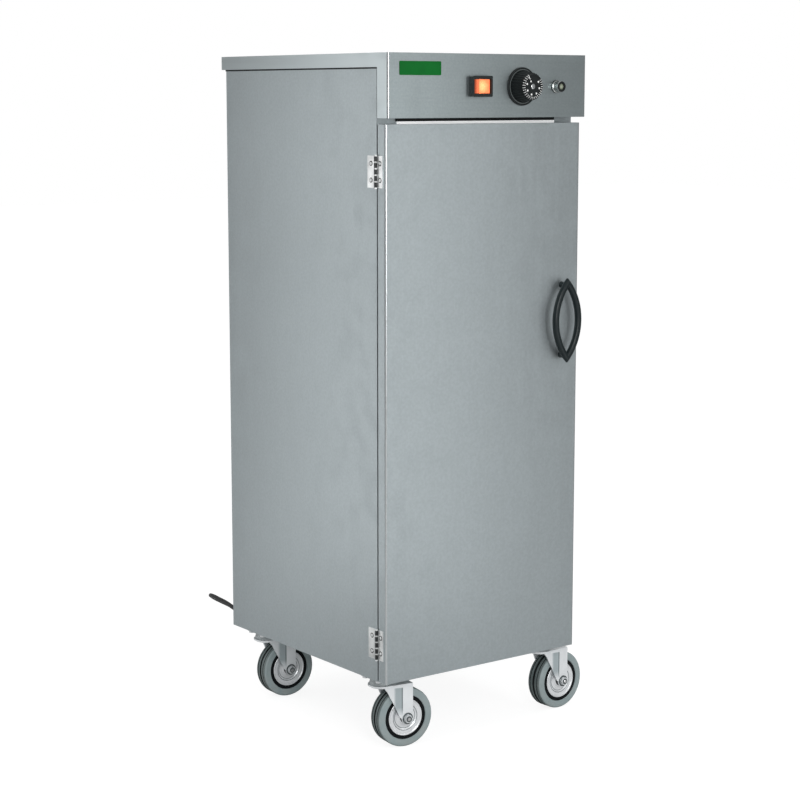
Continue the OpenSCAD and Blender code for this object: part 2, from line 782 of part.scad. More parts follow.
module door_gasket() {
    x = chamber_x + 2;
    z0 = chamber_z - 2;
    z1 = ceiling_z + 2;
    color("dimgray") difference() {
        block([-x - gasket_w, door_t, z0 - gasket_w], [x + gasket_w, frame_y - free, z1 + gasket_w]);
        block([-x, door_t - e, z0], [x, frame_y - free + e, z1]);
    }
}

// ---- Handle: an eye-shaped loop raised off the door on a foot at each tip ----

handle_at = [half_w - handle_inset, body_z + handle_height];
limb_mid_w = (handle_w - handle_limb_w) / 2;
limb_mid_h = handle_h / 2 - handle_limb_w * 0.73;
limb_r = (limb_mid_w * limb_mid_w + limb_mid_h * limb_mid_h) / (2 * limb_mid_w);
// The angle at which a limb's outer side meets the middle, where the two limbs are mitred
limb_angle = acos((limb_r - limb_mid_w) / (limb_r + handle_limb_w / 2));

module door_handle() {
    corner = min(handle_limb_w, handle_limb_t) / 2 - 0.5;
    foot_d = 9;
    foot_z = limb_mid_h - 4;
    sink = handle_limb_t / 2;
    color("black") facing_front([handle_at.x, -handle_clearance, handle_at.y]) {
        both_sides() intersection() {
            translate([limb_mid_w - limb_r, 0, 0]) rotate(-limb_angle - 1)
                rotate_extrude(angle = 2 * limb_angle + 2, $fn = 96) translate([limb_r, 0])
                    round_rect([-handle_limb_w / 2, 0], [handle_limb_w / 2, handle_limb_t], corner);
            block([0, -handle_h, -e], [handle_w, handle_h, handle_limb_t + e]);
        }
        for (s = [-1, 1]) translate([0, s * foot_z, -handle_clearance])
            cylinder(d1 = foot_d + 2, d2 = foot_d, h = handle_clearance + sink);
    }
}

// ---- Butt hinges on the left side ----

function knuckle_h() = hinge_h / knuckle_count;

module hinge_knuckles(z0, first) {
    for (i = [first:2:knuckle_count - 1]) difference() {
        union() {
            translate([hinge_x, hinge_y, z0 + i * knuckle_h() + free / 2])
                cylinder(d = knuckle_d, h = knuckle_h() - free);
            hinge_tongue(z0 + i * knuckle_h() + free / 2, first == 1 ? -1 : 1);
        }
        translate([hinge_x, hinge_y, z0 - e])
            cylinder(d = hinge_pin_d + 2 * run, h = hinge_h + 2 * e);
    }
}

// The strip of a leaf that wraps into one knuckle
module hinge_tongue(z, toward) {
    reach = knuckle_d / 2 + free + 0.2;
    y = toward > 0 ? hinge_y : hinge_y - reach;
    block([-half_w - leaf_t, y, z], [-half_w, y + reach, z + knuckle_h() - free]);
}

module hinge_frame_leaf(z0) {
    near = hinge_y + knuckle_d / 2 + free;
    color("gainsboro") {
        block([-half_w - leaf_t, near, z0 + free / 2],
            [-half_w, hinge_y + frame_leaf_w, z0 + hinge_h - free / 2]);
        hinge_knuckles(z0, 0);
    }
}

module hinge_door_leaf(z0) {
    near = hinge_y - knuckle_d / 2 - free;
    color("gainsboro") {
        block([-half_w - leaf_t, hinge_y - door_leaf_w, z0 + free / 2],
            [-half_w, near, z0 + hinge_h - free / 2]);
        hinge_knuckles(z0, 1);
    }
}

module lower_hinge_frame_leaf() hinge_frame_leaf(hinge_zs[0]);

module upper_hinge_frame_leaf() hinge_frame_leaf(hinge_zs[1]);

module lower_hinge_door_leaf() hinge_door_leaf(hinge_zs[0]);

module upper_hinge_door_leaf() hinge_door_leaf(hinge_zs[1]);

module hinge_pins() {
    head_h = 1.4;
    color("gainsboro") for (z0 = hinge_zs) translate([hinge_x, hinge_y, z0 + free / 2]) {
        cylinder(d = hinge_pin_d, h = hinge_h - free);
        for (z = [-head_h, hinge_h - free])
            translate([0, 0, z]) cylinder(d = knuckle_d - 1, h = head_h);
    }
}

// ---- Casters ----

module caster_bolt_places(at) {
    for (x = [-1, 1], y = [-1, 1])
        translate([at.x + x * caster_bolt_pitch / 2, at.y + y * caster_bolt_pitch / 2, 0]) children();
}

// A square plate with the upper race of the swivel and its king pin
module caster_plate() {
    top = caster_h;
    race_top = top - plate_t;
    race_low = crown_z + fork_t + free;
    difference() {
        translate([0, 0, race_top]) linear_extrude(plate_t) round_rect(
            [-caster_plate_w / 2, -caster_plate_w / 2], [caster_plate_w / 2, caster_plate_w / 2], 5);
        caster_bolt_places([0, 0]) translate([0, 0, race_top - e])
            cylinder(d = caster_bolt_d + 0.4, h = plate_t + 2 * e);
    }
    translate([0, 0, race_low + 3]) cylinder(d1 = 38, d2 = 32, h = race_top - race_low - 3);
    translate([0, 0, race_low]) cylinder(d = 38, h = 3);
    translate([0, 0, crown_z - free - e]) cylinder(d = king_pin_d, h = fork_t + 2 * free + 2 * e);
    translate([0, 0, crown_z - free - 2.5]) cylinder(d1 = 14, d2 = 17, h = 2.5);
}

module caster_plates() {
    color("lightgray") for (at = caster_at) translate([at.x, at.y, 0]) caster_plate();
}

module caster_bolts() {
    head_h = 4;
    z0 = body_z - plate_t;
    color("silver") for (at = caster_at) caster_bolt_places(at) {
        translate([0, 0, z0]) cylinder(d = caster_bolt_d, h = plate_t + pan_t + 5);
        translate([0, 0, z0 - head_h]) cylinder(d = 11, h = head_h, $fn = 6);
        translate([0, 0, body_z + pan_t]) cylinder(d = 11, h = 4.5, $fn = 6);
    }
}

// Places a piece of a caster where that caster stands and points
module at_caster(i) translate([caster_at[i].x, caster_at[i].y, 0]) rotate(caster_turn[i]) children();

// The flat rear part of a fork's leg, seen from the side, with its round end at the axle
module fork_leg_outline() {
    translate([fork_crease_x, wheel_d / 2])
        square([caster_trail + fork_end_r - fork_crease_x, crown_z + fork_t - wheel_d / 2]);
    translate([caster_trail, wheel_d / 2]) circle(fork_end_r);
}

// The wing in front of the crease: it sweeps from the crown down to the axle
module fork_wing_outline() {
    polygon([
        [-4, crown_z + fork_t - 0.5], [fork_crease_x + 0.5, crown_z + fork_t - 0.5],
        [fork_crease_x + 0.5, wheel_d / 2], [fork_crease_x - 3, wheel_d / 2 + 2],
        [fork_crease_x - 9, wheel_d / 2 + 14], [fork_crease_x - 15, wheel_d / 2 + 27],
        [fork_crease_x - 21, wheel_d / 2 + 38], [3, crown_z - 10], [-1, crown_z - 5],
        [-4, crown_z + 0.5]
    ]);
}

// One leg: the children of a side view, as sheet whose outer face lies at -outer
module fork_sheet(outer) translate([0, fork_t - outer, 0]) rotate([90, 0, 0])
    linear_extrude(fork_t) children();

module fork_leg(outer) {
    fork_sheet(outer) fork_leg_outline();
    translate([fork_crease_x, 0.1 - outer, 0]) rotate(-fork_wing_turn)
        translate([-fork_crease_x, outer, 0]) fork_sheet(outer) fork_wing_outline();
}

module caster_fork() {
    outer = fork_inner + fork_t;
    hex_d = 14;
    color("lightgray") {
        difference() {
            union() {
                translate([0, 0, crown_z]) cylinder(r = outer - 0.5, h = fork_t);
                translate([0, 0, crown_z]) linear_extrude(fork_t)
                    round_rect([-4, -outer], [caster_trail + fork_end_r, outer], 4);
                fork_leg(outer);
                mirror([0, 1, 0]) fork_leg(outer);
                translate([0, 0, crown_z - 2]) cylinder(d = 36, h = 2);
            }
            translate([0, 0, crown_z - 3]) cylinder(d = 18, h = 3);
            translate([0, 0, crown_z - e]) cylinder(d = king_pin_d + 2 * run, h = fork_t + 2 * e);
            translate([caster_trail, outer + e, wheel_d / 2]) rotate([90, 0, 0])
                cylinder(d = axle_d + 0.1, h = 2 * outer + 2 * e);
        }
        translate([caster_trail, outer, wheel_d / 2]) rotate([90, 0, 0]) {
            cylinder(d = axle_d, h = 2 * outer);
            translate([0, 0, 2 * outer]) cylinder(d = hex_d, h = 5, $fn = 6);
            translate([0, 0, -5]) cylinder(d = hex_d, h = 5, $fn = 6);
        }
    }
}

hub_gap = 0.4;

// Half the width of the wheel core at each radius: hub, pressed disc, step and rim
module wheel_core() {
    core_r = wheel_d / 2 - tyre_t;
    hub_w = 2 * (fork_inner - hub_gap);
    profile = [
        [axle_d / 2 + run, hub_w / 2], [9, hub_w / 2], [10, 13], [13, 11.5], [20, 11], [22, 12.5],
        [core_r - 6, 13], [core_r - 4, tyre_w / 2 - 1], [core_r, tyre_w / 2 - 1]
    ];
    outline = concat(profile, [for (i = [len(profile) - 1:-1:0]) [profile[i].x, -profile[i].y]]);
    color("black") translate([caster_trail, 0, wheel_d / 2]) rotate([90, 0, 0])
        rotate_extrude($fn = 72) polygon(outline);
}

module wheel_tyre() {
    core_r = wheel_d / 2 - tyre_t;
    tread_r = 4;
    color("gray") translate([caster_trail, 0, wheel_d / 2]) rotate([90, 0, 0])
        rotate_extrude($fn = 72) {
            translate([core_r, -tyre_w / 2]) square([tyre_t - tread_r, tyre_w]);
            translate([wheel_d / 2 - tread_r, 0])
                square([2 * tread_r, tyre_w - 2 * tread_r], center = true);
            for (s = [-1, 1])
                translate([wheel_d / 2 - tread_r, s * (tyre_w / 2 - tread_r)]) circle(tread_r);
        }
}

// ---- Mains lead ----

// Screwed into the back panel, with a tapered sleeve that stops the lead from kinking
module cable_gland() {
    color("black") translate([lead_x, cabinet_d + sheet_t, lead_z]) rotate([-90, 0, 0]) {
        cylinder(d = 21, h = gland_nut_t, $fn = 6);
        translate([0, 0, gland_nut_t]) cylinder(d1 = 15, d2 = lead_d + 1, h = gland_taper);
        translate([0, 0, -10]) cylinder(d = 12.6, h = 10);
        translate([0, 0, -sheet_t - pan_t - 4]) cylinder(d = 19, h = 4, $fn = 6);
    }
}

function unit(v) = v / norm(v);

// The direction of a path at each of its points
function path_dir(p, i) = unit(p[min(i + 1, len(p) - 1)] - p[max(i - 1, 0)]);

// A ring of points around a path's point, square to the path
function ring(p, i, d, sides) = let(
        t = path_dir(p, i),
        side = unit(cross(t, [0, 0, 1])),
        up = cross(side, t)
    ) [for (k = [0:sides - 1]) p[i] + d / 2 * (
        side * sin(k * 360 / sides) - up * cos(k * 360 / sides))];

// A closed tube swept along a path, its faces all triangles
module tube(p, d, sides) {
    n = len(p);
    points = [for (i = [0:n - 1]) each ring(p, i, d, sides)];
    walls = [for (i = [0:n - 2], k = [0:sides - 1]) let(
            a = i * sides + k,
            b = i * sides + (k + 1) % sides
        ) each [[a, b, b + sides], [a, b + sides, a + sides]]];
    caps = [for (k = [1:sides - 2]) each [
        [0, k + 1, k], [(n - 1) * sides, (n - 1) * sides + k, (n - 1) * sides + k + 1]]];
    polyhedron(points, concat(walls, caps));
}

module power_lead() color("black") tube(lead_route, lead_d, 8);

// The coil lies in two layers: it winds in, climbs a layer in half a turn, and winds out
coil_start = lead_route[len(lead_route) - 1] + [lead_d, 0, 0];
coil_mid = [coil_start.x, coil_start.y - coil_r];
coil_pitch = lead_d + 0.7;
coil_turns_in = 1.75;
coil_turns = 2 * coil_turns_in + 0.5;
coil_rings = 24;

function climb(t) = (1 - cos(180 * t)) / 2;

function coil_point(turn) = let(
        t = (turn - coil_turns_in) * 2,
        r = turn <= coil_turns_in ? coil_r - coil_pitch * turn
            : t >= 1 ? coil_r - coil_pitch * (coil_turns - turn)
            : coil_r - coil_pitch * coil_turns_in - 2.2 * sin(180 * t),
        z = lead_d / 2 + coil_pitch * climb(max(0, min(1, t))),
        a = 90 - 360 * turn
    ) [coil_mid.x + r * cos(a), coil_mid.y + r * sin(a), z];

coil_tail = [[15, 0, 0.5], [30, -0.5, 2], [44, -1, 4.2], [56, -1.5, 5.8], [64.5, -1.5, 6.8]];
coil_path = concat(
    [coil_point(0) - [lead_d, 0, 0]],
    [for (i = [0:coil_turns * coil_rings]) coil_point(i / coil_rings)],
    [for (p = coil_tail) coil_point(coil_turns) + p],
    [coil_point(coil_turns) + coil_tail[4] + [lead_d, 0, 0]]
);
plug_at = coil_path[len(coil_path) - 1];

// The least gap between two stretches of the coil that lie beside or on each other
coil_gap = min([for (i = [0:len(coil_path) - 1], j = [i + 8:len(coil_path) - 1])
    norm(coil_path[i] - coil_path[j])]) - lead_d;
echo(coil_gap = coil_gap);

module lead_coil() color("black") tube(coil_path, lead_d, 6);

// A straight round plug lying on the floor, its two pins pointing away from the coil
module plug() {
    body_r = plug_at.z;
    neck_l = 18;
    flare_l = 16;
    face_l = 9;
    color("black") translate(plug_at) rotate([0, 90, 0]) {
        cylinder(d1 = lead_d + 1, d2 = 12, h = neck_l);
        translate([0, 0, neck_l]) cylinder(d1 = 20, d2 = 30, h = flare_l);
        translate([0, 0, neck_l + flare_l]) cylinder(r = body_r, h = face_l);
        for (y = [-9.5, 9.5]) translate([0, y, neck_l + flare_l + face_l]) {
            cylinder(d = 4.8, h = 17);
            translate([0, 0, 17]) cylinder(d1 = 4.8, d2 = 2.6, h = 2);
        }
    }
}

// ---- Assembly ----

// Moves the origin to the floor under the middle of the cabinet's box
module placed() translate([-box_mid.x, -box_mid.y, 0]) children();

placed() top_hood();
placed() side_panel_left();
placed() side_panel_right();
placed() rear_panel();
placed() base_pan();
placed() front_frame();
placed() liner_left();
placed() liner_right();
placed() liner_back();
placed() liner_floor();
placed() liner_ceiling();
placed() insulation();
placed() control_tray();
placed() shelf_runners_left();
placed() shelf_runners_right();
for (i = [1:3]) placed() wire_shelf(shelf_z(i));
placed() heating_element();
placed() element_cover();
placed() thermostat_bulb();
placed() thermostat_body();
placed() knob_bezel();
placed() rocker_housing();
placed() pilot_sleeve();
placed() pilot_lens();
placed() terminal_block();
placed() catch_magnet();
placed() cable_gland();
placed() lower_hinge_frame_leaf();
placed() upper_hinge_frame_leaf();
placed() hinge_pins();
placed() caster_plates();
placed() caster_bolts();
placed() door_skin();
placed() door_inner_pan();
placed() door_insulation();
placed() door_gasket();
placed() door_handle();
placed() lower_hinge_door_leaf();
placed() upper_hinge_door_leaf();
placed() strike_plate();
placed() rocker_button();
placed() thermostat_knob();
placed() thermostat_shaft();
for (i = [0:3]) {
    name = caster_names[i];
    placed() at_caster(i) caster_fork();
    placed() at_caster(i) wheel_core();
    placed() at_caster(i) wheel_tyre();
}
placed() power_lead();
placed() lead_coil();
placed() plug();
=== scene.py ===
"""Dresses the plate warmer cabinet: steel, casters, controls, mains lead and studio.

Everything is in metres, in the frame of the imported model: X along the front, Y from the
door to the back, Z up from the floor.
"""

from __future__ import annotations

import json
import logging
import math
from dataclasses import dataclass, field
from enum import Enum
from typing import Iterable, Sequence

import bmesh
import bpy
from mathutils import Matrix, Vector

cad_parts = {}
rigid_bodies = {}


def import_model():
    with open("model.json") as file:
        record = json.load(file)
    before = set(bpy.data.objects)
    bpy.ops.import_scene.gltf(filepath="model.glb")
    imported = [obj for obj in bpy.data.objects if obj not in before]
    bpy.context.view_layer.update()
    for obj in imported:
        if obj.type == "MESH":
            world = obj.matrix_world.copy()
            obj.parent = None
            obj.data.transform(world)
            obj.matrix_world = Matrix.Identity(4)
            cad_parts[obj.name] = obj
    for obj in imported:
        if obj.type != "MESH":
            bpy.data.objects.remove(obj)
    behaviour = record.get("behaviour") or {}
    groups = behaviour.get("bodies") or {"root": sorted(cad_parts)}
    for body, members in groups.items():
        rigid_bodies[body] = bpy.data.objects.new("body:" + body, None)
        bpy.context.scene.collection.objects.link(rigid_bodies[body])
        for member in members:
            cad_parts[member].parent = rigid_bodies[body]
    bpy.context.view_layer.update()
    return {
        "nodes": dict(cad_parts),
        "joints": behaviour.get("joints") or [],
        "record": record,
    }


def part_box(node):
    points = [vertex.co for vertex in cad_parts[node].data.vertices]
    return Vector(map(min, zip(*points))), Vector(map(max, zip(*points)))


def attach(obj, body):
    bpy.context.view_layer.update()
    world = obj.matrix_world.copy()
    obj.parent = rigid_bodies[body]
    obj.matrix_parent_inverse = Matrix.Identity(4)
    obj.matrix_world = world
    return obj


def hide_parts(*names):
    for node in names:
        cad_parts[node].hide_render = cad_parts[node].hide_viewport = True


LOG = logging.getLogger("plate_warmer")
CORNERS = ("fl", "fr", "rl", "rr")

FRONT = Vector((0, -1, 0))
WHITE = (1.0, 1.0, 1.0, 1.0)

Color = tuple[float, float, float]
Point = tuple[float, float, float]
Profile = Sequence[tuple[float, float]]
Node = bpy.types.Node
Socket = bpy.types.NodeSocket
Outputs = bpy.types.bpy_prop_collection
Group = bpy.types.NodeTree
Material = bpy.types.Material
Piece = bpy.types.Object
Shape = bmesh.types.BMesh


# ---------------------------------------------------------------------------
# Node trees and the effects that several finishes share
# ---------------------------------------------------------------------------


class Side(Enum):
    """Which way a sheet's grain runs, as stretches of the noise along X, Y and Z."""

    UPRIGHT = (1.0, 1.0, 0.012)
    LEVEL = (0.012, 0.012, 1.0)


class DiscSide(Enum):
    """The side of a wheel that a disc closes, as its way along the axle."""

    OUTER = 1.0
    INNER = -1.0


class Tree:
    """A short way to write a node tree."""

    def __init__(self, tree: Group) -> None:
        """Keeps the tree that nodes go into."""
        self.tree = tree

    def add(self, kind: str, **values: object) -> Node:
        """Adds a node.

        Args:
            kind: The node's type, without the word ShaderNode.
            **values: Its properties, and its sockets written as in_NAME.

        Returns:
            The new node.
        """
        prefix = "" if kind.startswith("Node") else "ShaderNode"
        node = self.tree.nodes.new(prefix + kind)
        for key, value in values.items():
            if key.startswith("in_"):
                self.feed(node, key[3:].replace("_", " "), value)
            else:
                setattr(node, key, value)
        return node

    def feed(self, node: Node, socket: str | int, value: object) -> None:
        """Links a socket to another node's output, or sets its value.

        Args:
            node: The node that has the socket.
            socket: The socket's name or number.
            value: The output's socket, or a plain value.
        """
        target = node.inputs[socket]
        if isinstance(value, Socket):
            self.tree.links.new(value, target)
        else:
            target.default_value = value

    def math(self, operation: str, a: object, b: object = 0.0, clamp: bool = False) -> Socket:
        """Adds a sum of two numbers or sockets.

        Args:
            operation: Name of the operation, such as ADD.
            a: The first number or socket.
            b: The second number or socket.
            clamp: Whether the result stays between 0 and 1.

        Returns:
            The result's socket.
        """
        node = self.add("Math", operation=operation, use_clamp=clamp)
        self.feed(node, 0, a)
        self.feed(node, 1, b)
        return node.outputs[0]

    def times(self, a: object, b: object) -> Socket:
        """Multiplies two numbers or sockets."""
        return self.math("MULTIPLY", a, b)

    def vector(self, operation: str, a: object, b: object = (0.0, 0.0, 0.0)) -> Socket:
        """Adds a sum of two vectors.

        Args:
            operation: Name of the operation, such as DISTANCE.
            a: The first vector or socket.
            b: The second vector or socket.

        Returns:
            The result's socket, a vector or a number.
        """
        node = self.add("VectorMath", operation=operation)
        self.feed(node, 0, a)
        self.feed(node, 1, b)
        return node.outputs["Value" if operation in ("DISTANCE", "DOT_PRODUCT") else "Vector"]

    def spot(self) -> Socket:
        """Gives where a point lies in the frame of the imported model."""
        return self.add("TexCoord").outputs["Object"]

    def parts(self, vector: Socket) -> Outputs:
        """Splits a vector into its X, Y and Z."""
        return self.add("SeparateXYZ", in_Vector=vector).outputs

    def ramp(self, value: object, low: float, high: float,
             to: tuple[float, float] = (0.0, 1.0)) -> Socket:
        """Maps a value from one range to another and keeps it inside.

        Args:
            value: The socket that is read.
            low: Value that gives the first end.
            high: Value that gives the second end.
            to: The two ends.

        Returns:
            The mapped value's socket.
        """
        node = self.add("MapRange", clamp=True)
        for name, given in (("Value", value), ("From Min", low), ("From Max", high),
                            ("To Min", to[0]), ("To Max", to[1])):
            self.feed(node, name, given)
        return node.outputs[0]

    def noise(self, vector: object, scale: float, detail: float = 2.0) -> Socket:
        """Adds a noise texture.

        Args:
            vector: Where the noise is read.
            scale: Its fineness, per metre.
            detail: How many finer layers it holds.

        Returns:
            The noise's value socket.
        """
        node = self.add("TexNoise", in_Vector=vector, in_Scale=scale, in_Detail=detail)
        return node.outputs["Fac"]

    def blend(self, amount: object, a: object, b: object) -> Socket:
        """Mixes two colours.

        Args:
            amount: Share of the second colour.
            a: The first colour.
            b: The second colour.

        Returns:
            The mixed colour's socket.
        """
        node = self.add("Mix", data_type="RGBA")
        self.feed(node, 0, amount)
        self.feed(node, 6, rgba(a))
        self.feed(node, 7, rgba(b))
        return node.outputs[2]

    def place(self, effect: type[Effect], **values: object) -> Outputs:
        """Places a shared effect.

        Args:
            effect: The effect.
            **values: Its inputs, with underscores for spaces.

        Returns:
            Its outputs.
        """
        node = self.add("Group", node_tree=effect.group())
        for key, value in values.items():
            self.feed(node, key.replace("_", " "), value)
        return node.outputs


def rgba(value: object) -> object:
    """Gives a colour its fourth number, and leaves sockets alone."""
    return (*value, 1.0) if isinstance(value, tuple) and len(value) == 3 else value


def scaled(color: Color, share: float) -> Color:
    """Makes a colour darker or lighter."""
    return tuple(c * share for c in color)


class Effect(Tree):
    """A shader node group that finishes share; each kind names its sockets and draws it."""

    title: str
    inputs: dict[str, float]
    outputs: tuple[str, ...]
    given: Outputs
    out: Node

    @classmethod
    def group(cls) -> Group:
        """Makes the group once and gives it after that.

        Returns:
            The group.
        """
        group = bpy.data.node_groups.get(cls.title)
        if group:
            return group
        group = bpy.data.node_groups.new(cls.title, "ShaderNodeTree")
        for name, usual in cls.inputs.items():
            socket = group.interface.new_socket(name, in_out="INPUT",
                                                socket_type="NodeSocketFloat")
            socket.default_value = usual
        for name in cls.outputs:
            group.interface.new_socket(name, in_out="OUTPUT", socket_type="NodeSocketFloat")
        effect = cls(group)
        effect.given = effect.add("NodeGroupInput").outputs
        effect.out = effect.add("NodeGroupOutput")
        effect.draw()
        return group

    def draw(self) -> None:
        """Draws the group from its inputs, given, to its output node, out."""
        raise NotImplementedError


class BrushedGrain(Effect):
    """The fine parallel scratches of brushed sheet."""

    title = "Brushed grain"
    inputs = {"Stretch X": 1.0, "Stretch Y": 1.0, "Stretch Z": 1.0}
    outputs = ("Lines",)

    def draw(self) -> None:
        """Draws two sizes of stretched noise."""
        spot = self.spot()
        stretch = self.add("CombineXYZ", **{f"in_{axis}": self.given[f"Stretch {axis}"]
                                            for axis in "XYZ"})
        along = self.vector("MULTIPLY", spot, stretch.outputs[0])
        fine, broad = self.noise(along, 1400.0, 3.0), self.noise(along, 260.0)
        both = self.math("ADD", self.times(fine, 0.65), self.times(broad, 0.35))
        self.feed(self.out, "Lines", self.ramp(both, 0.3, 0.7))


class HandlingMarks(Effect):
    """The soft clouds that wiping and handling leave, and their finer smears."""

    title = "Handling marks"
    inputs = {"Size": 4.0}
    outputs = ("Clouds", "Smears")

    def draw(self) -> None:
        """Draws broad clouds and small smears."""
        spot = self.spot()
        clouds = self.noise(spot, self.given["Size"], 3.0)
        smears = self.noise(spot, self.times(self.given["Size"], 7.0), 4.0)
        self.feed(self.out, "Clouds", self.ramp(clouds, 0.32, 0.68))
        self.feed(self.out, "Smears", self.ramp(smears, 0.45, 0.75))


class MouldedGrain(Effect):
    """The fine pebbled skin of moulded plastic and rubber."""

    title = "Moulded grain"
    inputs = {"Fineness": 1800.0}
    outputs = ("Height", "Specks")

    def draw(self) -> None:
        """Draws small cells under a little noise."""
        spot = self.spot()
        cells = self.add("TexVoronoi", in_Vector=spot, in_Scale=self.given["Fineness"])
        specks = self.noise(spot, self.given["Fineness"], 4.0)
        height = self.math("ADD", self.times(cells.outputs["Distance"], 0.6), specks)
        self.feed(self.out, "Height", height)
        self.feed(self.out, "Specks", self.ramp(specks, 0.35, 0.65))


class SettledDust(Effect):
    """Where dust and floor dirt settle: low down, in patches."""

    title = "Settled dust"
    inputs = {"Reach": 0.12}
    outputs = ("Dust",)

    def draw(self) -> None:
        """Mixes the height above the floor with patchy noise."""
        spot = self.spot()
        low = self.ramp(self.parts(spot)["Z"], 0.0, self.given["Reach"], (1.0, 0.0))
        patches = self.ramp(self.noise(spot, 60.0, 5.0), 0.4, 0.7)
        self.feed(self.out, "Dust", self.times(low, patches))


class FoldedEdges(Effect):
    """The rounded folds of a sheet, and the level and right-facing ones among them, which take a
    painted shade.
    """

    title = "Folded edges"
    inputs = {"Flat": 0.985}
    outputs = ("Fold", "Dirty")

    def draw(self) -> None:
        """Measures how far the normal is from all three axes, whether a fold lies level and whether
        it faces right.
        """
        normal = self.add("TexCoord").outputs["Normal"]
        parts = self.parts(self.vector("ABSOLUTE", normal))
        upright = self.math("MAXIMUM", parts["X"], parts["Y"])
        most = self.math("MAXIMUM", upright, parts["Z"])
        fold = self.ramp(most, self.given["Flat"], 0.86)
        # Level and right-facing folds are marked for a painted shade, by which way they face.
        level = self.ramp(parts["Z"], 0.12, 0.3)
        right = self.ramp(self.parts(normal)["X"], 0.12, 0.4, (0.0, 0.8))
        self.feed(self.out, "Fold", fold)
        self.feed(self.out, "Dirty", self.times(fold, self.math("MAXIMUM", level, right)))


# ---------------------------------------------------------------------------
# Finishes
# ---------------------------------------------------------------------------


class Paint(Tree):
    """A new material's node tree around its Principled shader."""

    def __init__(self, name: str) -> None:
        """Makes the material.

        Args:
            name: The material's name.
        """
        self.material = bpy.data.materials.new(name)
        self.material.use_nodes = True
        super().__init__(self.material.node_tree)
        self.shader = self.tree.nodes["Principled BSDF"]

    def give(self, socket: str, value: object) -> None:
        """Feeds one of the shader's sockets."""
        self.feed(self.shader, socket, value)

    def marks(self, size: float, low: float, high: float) -> Socket:
        """Places handling marks, whose smears change the roughness.

        Args:
            size: Fineness of the marks, per metre.
            low: Roughness between the smears.
            high: Roughness in the smears.

        Returns:
            The socket of the marks' clouds.
        """
        marks = self.place(HandlingMarks, Size=size)
        self.give("Roughness", self.ramp(marks["Smears"], 0.0, 1.0, (low, high)))
        return marks["Clouds"]

    def raised(self, height: Socket, strength: float, depth: float) -> Material:
        """Feeds a height to the shader's normal through a Bump node.

        Args:
            height: The height's socket.
            strength: How much of it shows.
            depth: Real depth in metres from low to high.

        Returns:
            The finished material.
        """
        bump = self.add("Bump", in_Height=height, in_Strength=strength, in_Distance=depth)
        self.give("Normal", bump.outputs[0])
        return self.material


@dataclass(frozen=True)
class Finish:
    """A named surface, which builds its own material."""

    name: str

    def build(self) -> Material:
        """Makes the material."""
        raise NotImplementedError


@dataclass(frozen=True)
class SheetSteel(Finish):
    """Stainless sheet: brushed grain, clouds of wiping, a slightly cool colour.

    Where lit_flank_color is given, it colours the faces that look along X: a painted light on the
    flanks.
    """

    color: Color
    roughness: float
    grain: Side = Side.UPRIGHT
    grain_depth: float = 0.00002
    tone: float = 0.06
    mottle: float = 0.84
    marks_size: float = 4.0
    # fold_highlight_color is a painted highlight on the folds; fold_shade_color is a painted shade
    # on the level and right-facing folds.
    fold_highlight_color: Color = (0.60, 0.63, 0.64)
    fold_shade_color: Color = (0.10, 0.125, 0.13)
    fold_roughness: float = 0.27
    across: float = 0.0
    lit_flank_color: Color | None = None

    def sheet_color(self, paint: Paint, lines: Socket, clouds: Socket) -> Socket:
        """Draws the colour of the flat sheet.

        Args:
            paint: The material's tree.
            lines: The grain.
            clouds: The clouds of wiping.

        Returns:
            The colour's socket.
        """
        streaked = paint.blend(lines, scaled(self.color, 1.0 - self.tone),
                               scaled(self.color, 1.0 + self.tone))
        specks = paint.noise(paint.spot(), 260.0, 3.0)
        mottled = paint.blend(paint.ramp(specks, 0.35, 0.65, (0.0, 0.5)), streaked,
                              scaled(self.color, self.mottle))
        wiped = paint.blend(paint.times(clouds, 0.10), mottled, scaled(self.color, 0.72))
        if self.lit_flank_color is None:
            return wiped
        # The faces that look along X take lit_flank_color, a painted light.
        normal = paint.parts(paint.add("TexCoord").outputs["Normal"])
        flank = paint.ramp(paint.math("ABSOLUTE", normal["X"]), 0.7, 0.9)
        lit_flank = paint.blend(lines, scaled(self.lit_flank_color, 1.0 - self.tone), self.lit_flank_color)
        return paint.blend(flank, wiped, lit_flank)

    def build(self) -> Material:
        """Draws the sheet, its folds brightened as a painted highlight, and its level and
        right-facing folds darkened as painted shade.

        Returns:
            The material.
        """
        paint = Paint(self.name)
        x, y, z = self.grain.value
        lines = paint.place(BrushedGrain, Stretch_X=x, Stretch_Y=y, Stretch_Z=z)["Lines"]
        marks = paint.place(HandlingMarks, Size=self.marks_size)
        sheet = self.sheet_color(paint, lines, marks["Clouds"])
        folds = paint.place(FoldedEdges)
        # Painted highlight on the folds, then painted shade on the level and right-facing ones.
        bright = paint.blend(folds["Fold"], sheet, self.fold_highlight_color)
        paint.give("Base Color", paint.blend(folds["Dirty"], bright, self.fold_shade_color))
        smears = paint.ramp(marks["Smears"], 0.0, 1.0, (self.roughness, self.roughness + 0.06))
        rough = paint.math("ADD", paint.ramp(lines, 0.0, 1.0, (-0.04, 0.04)), smears)
        polish = paint.times(folds["Fold"], self.roughness - self.fold_roughness)
        paint.give("Roughness", paint.math("SUBTRACT", rough, polish))
        paint.give("Metallic", 1.0)
        paint.give("Anisotropic", self.across)
        return paint.raised(lines, 0.6, self.grain_depth)


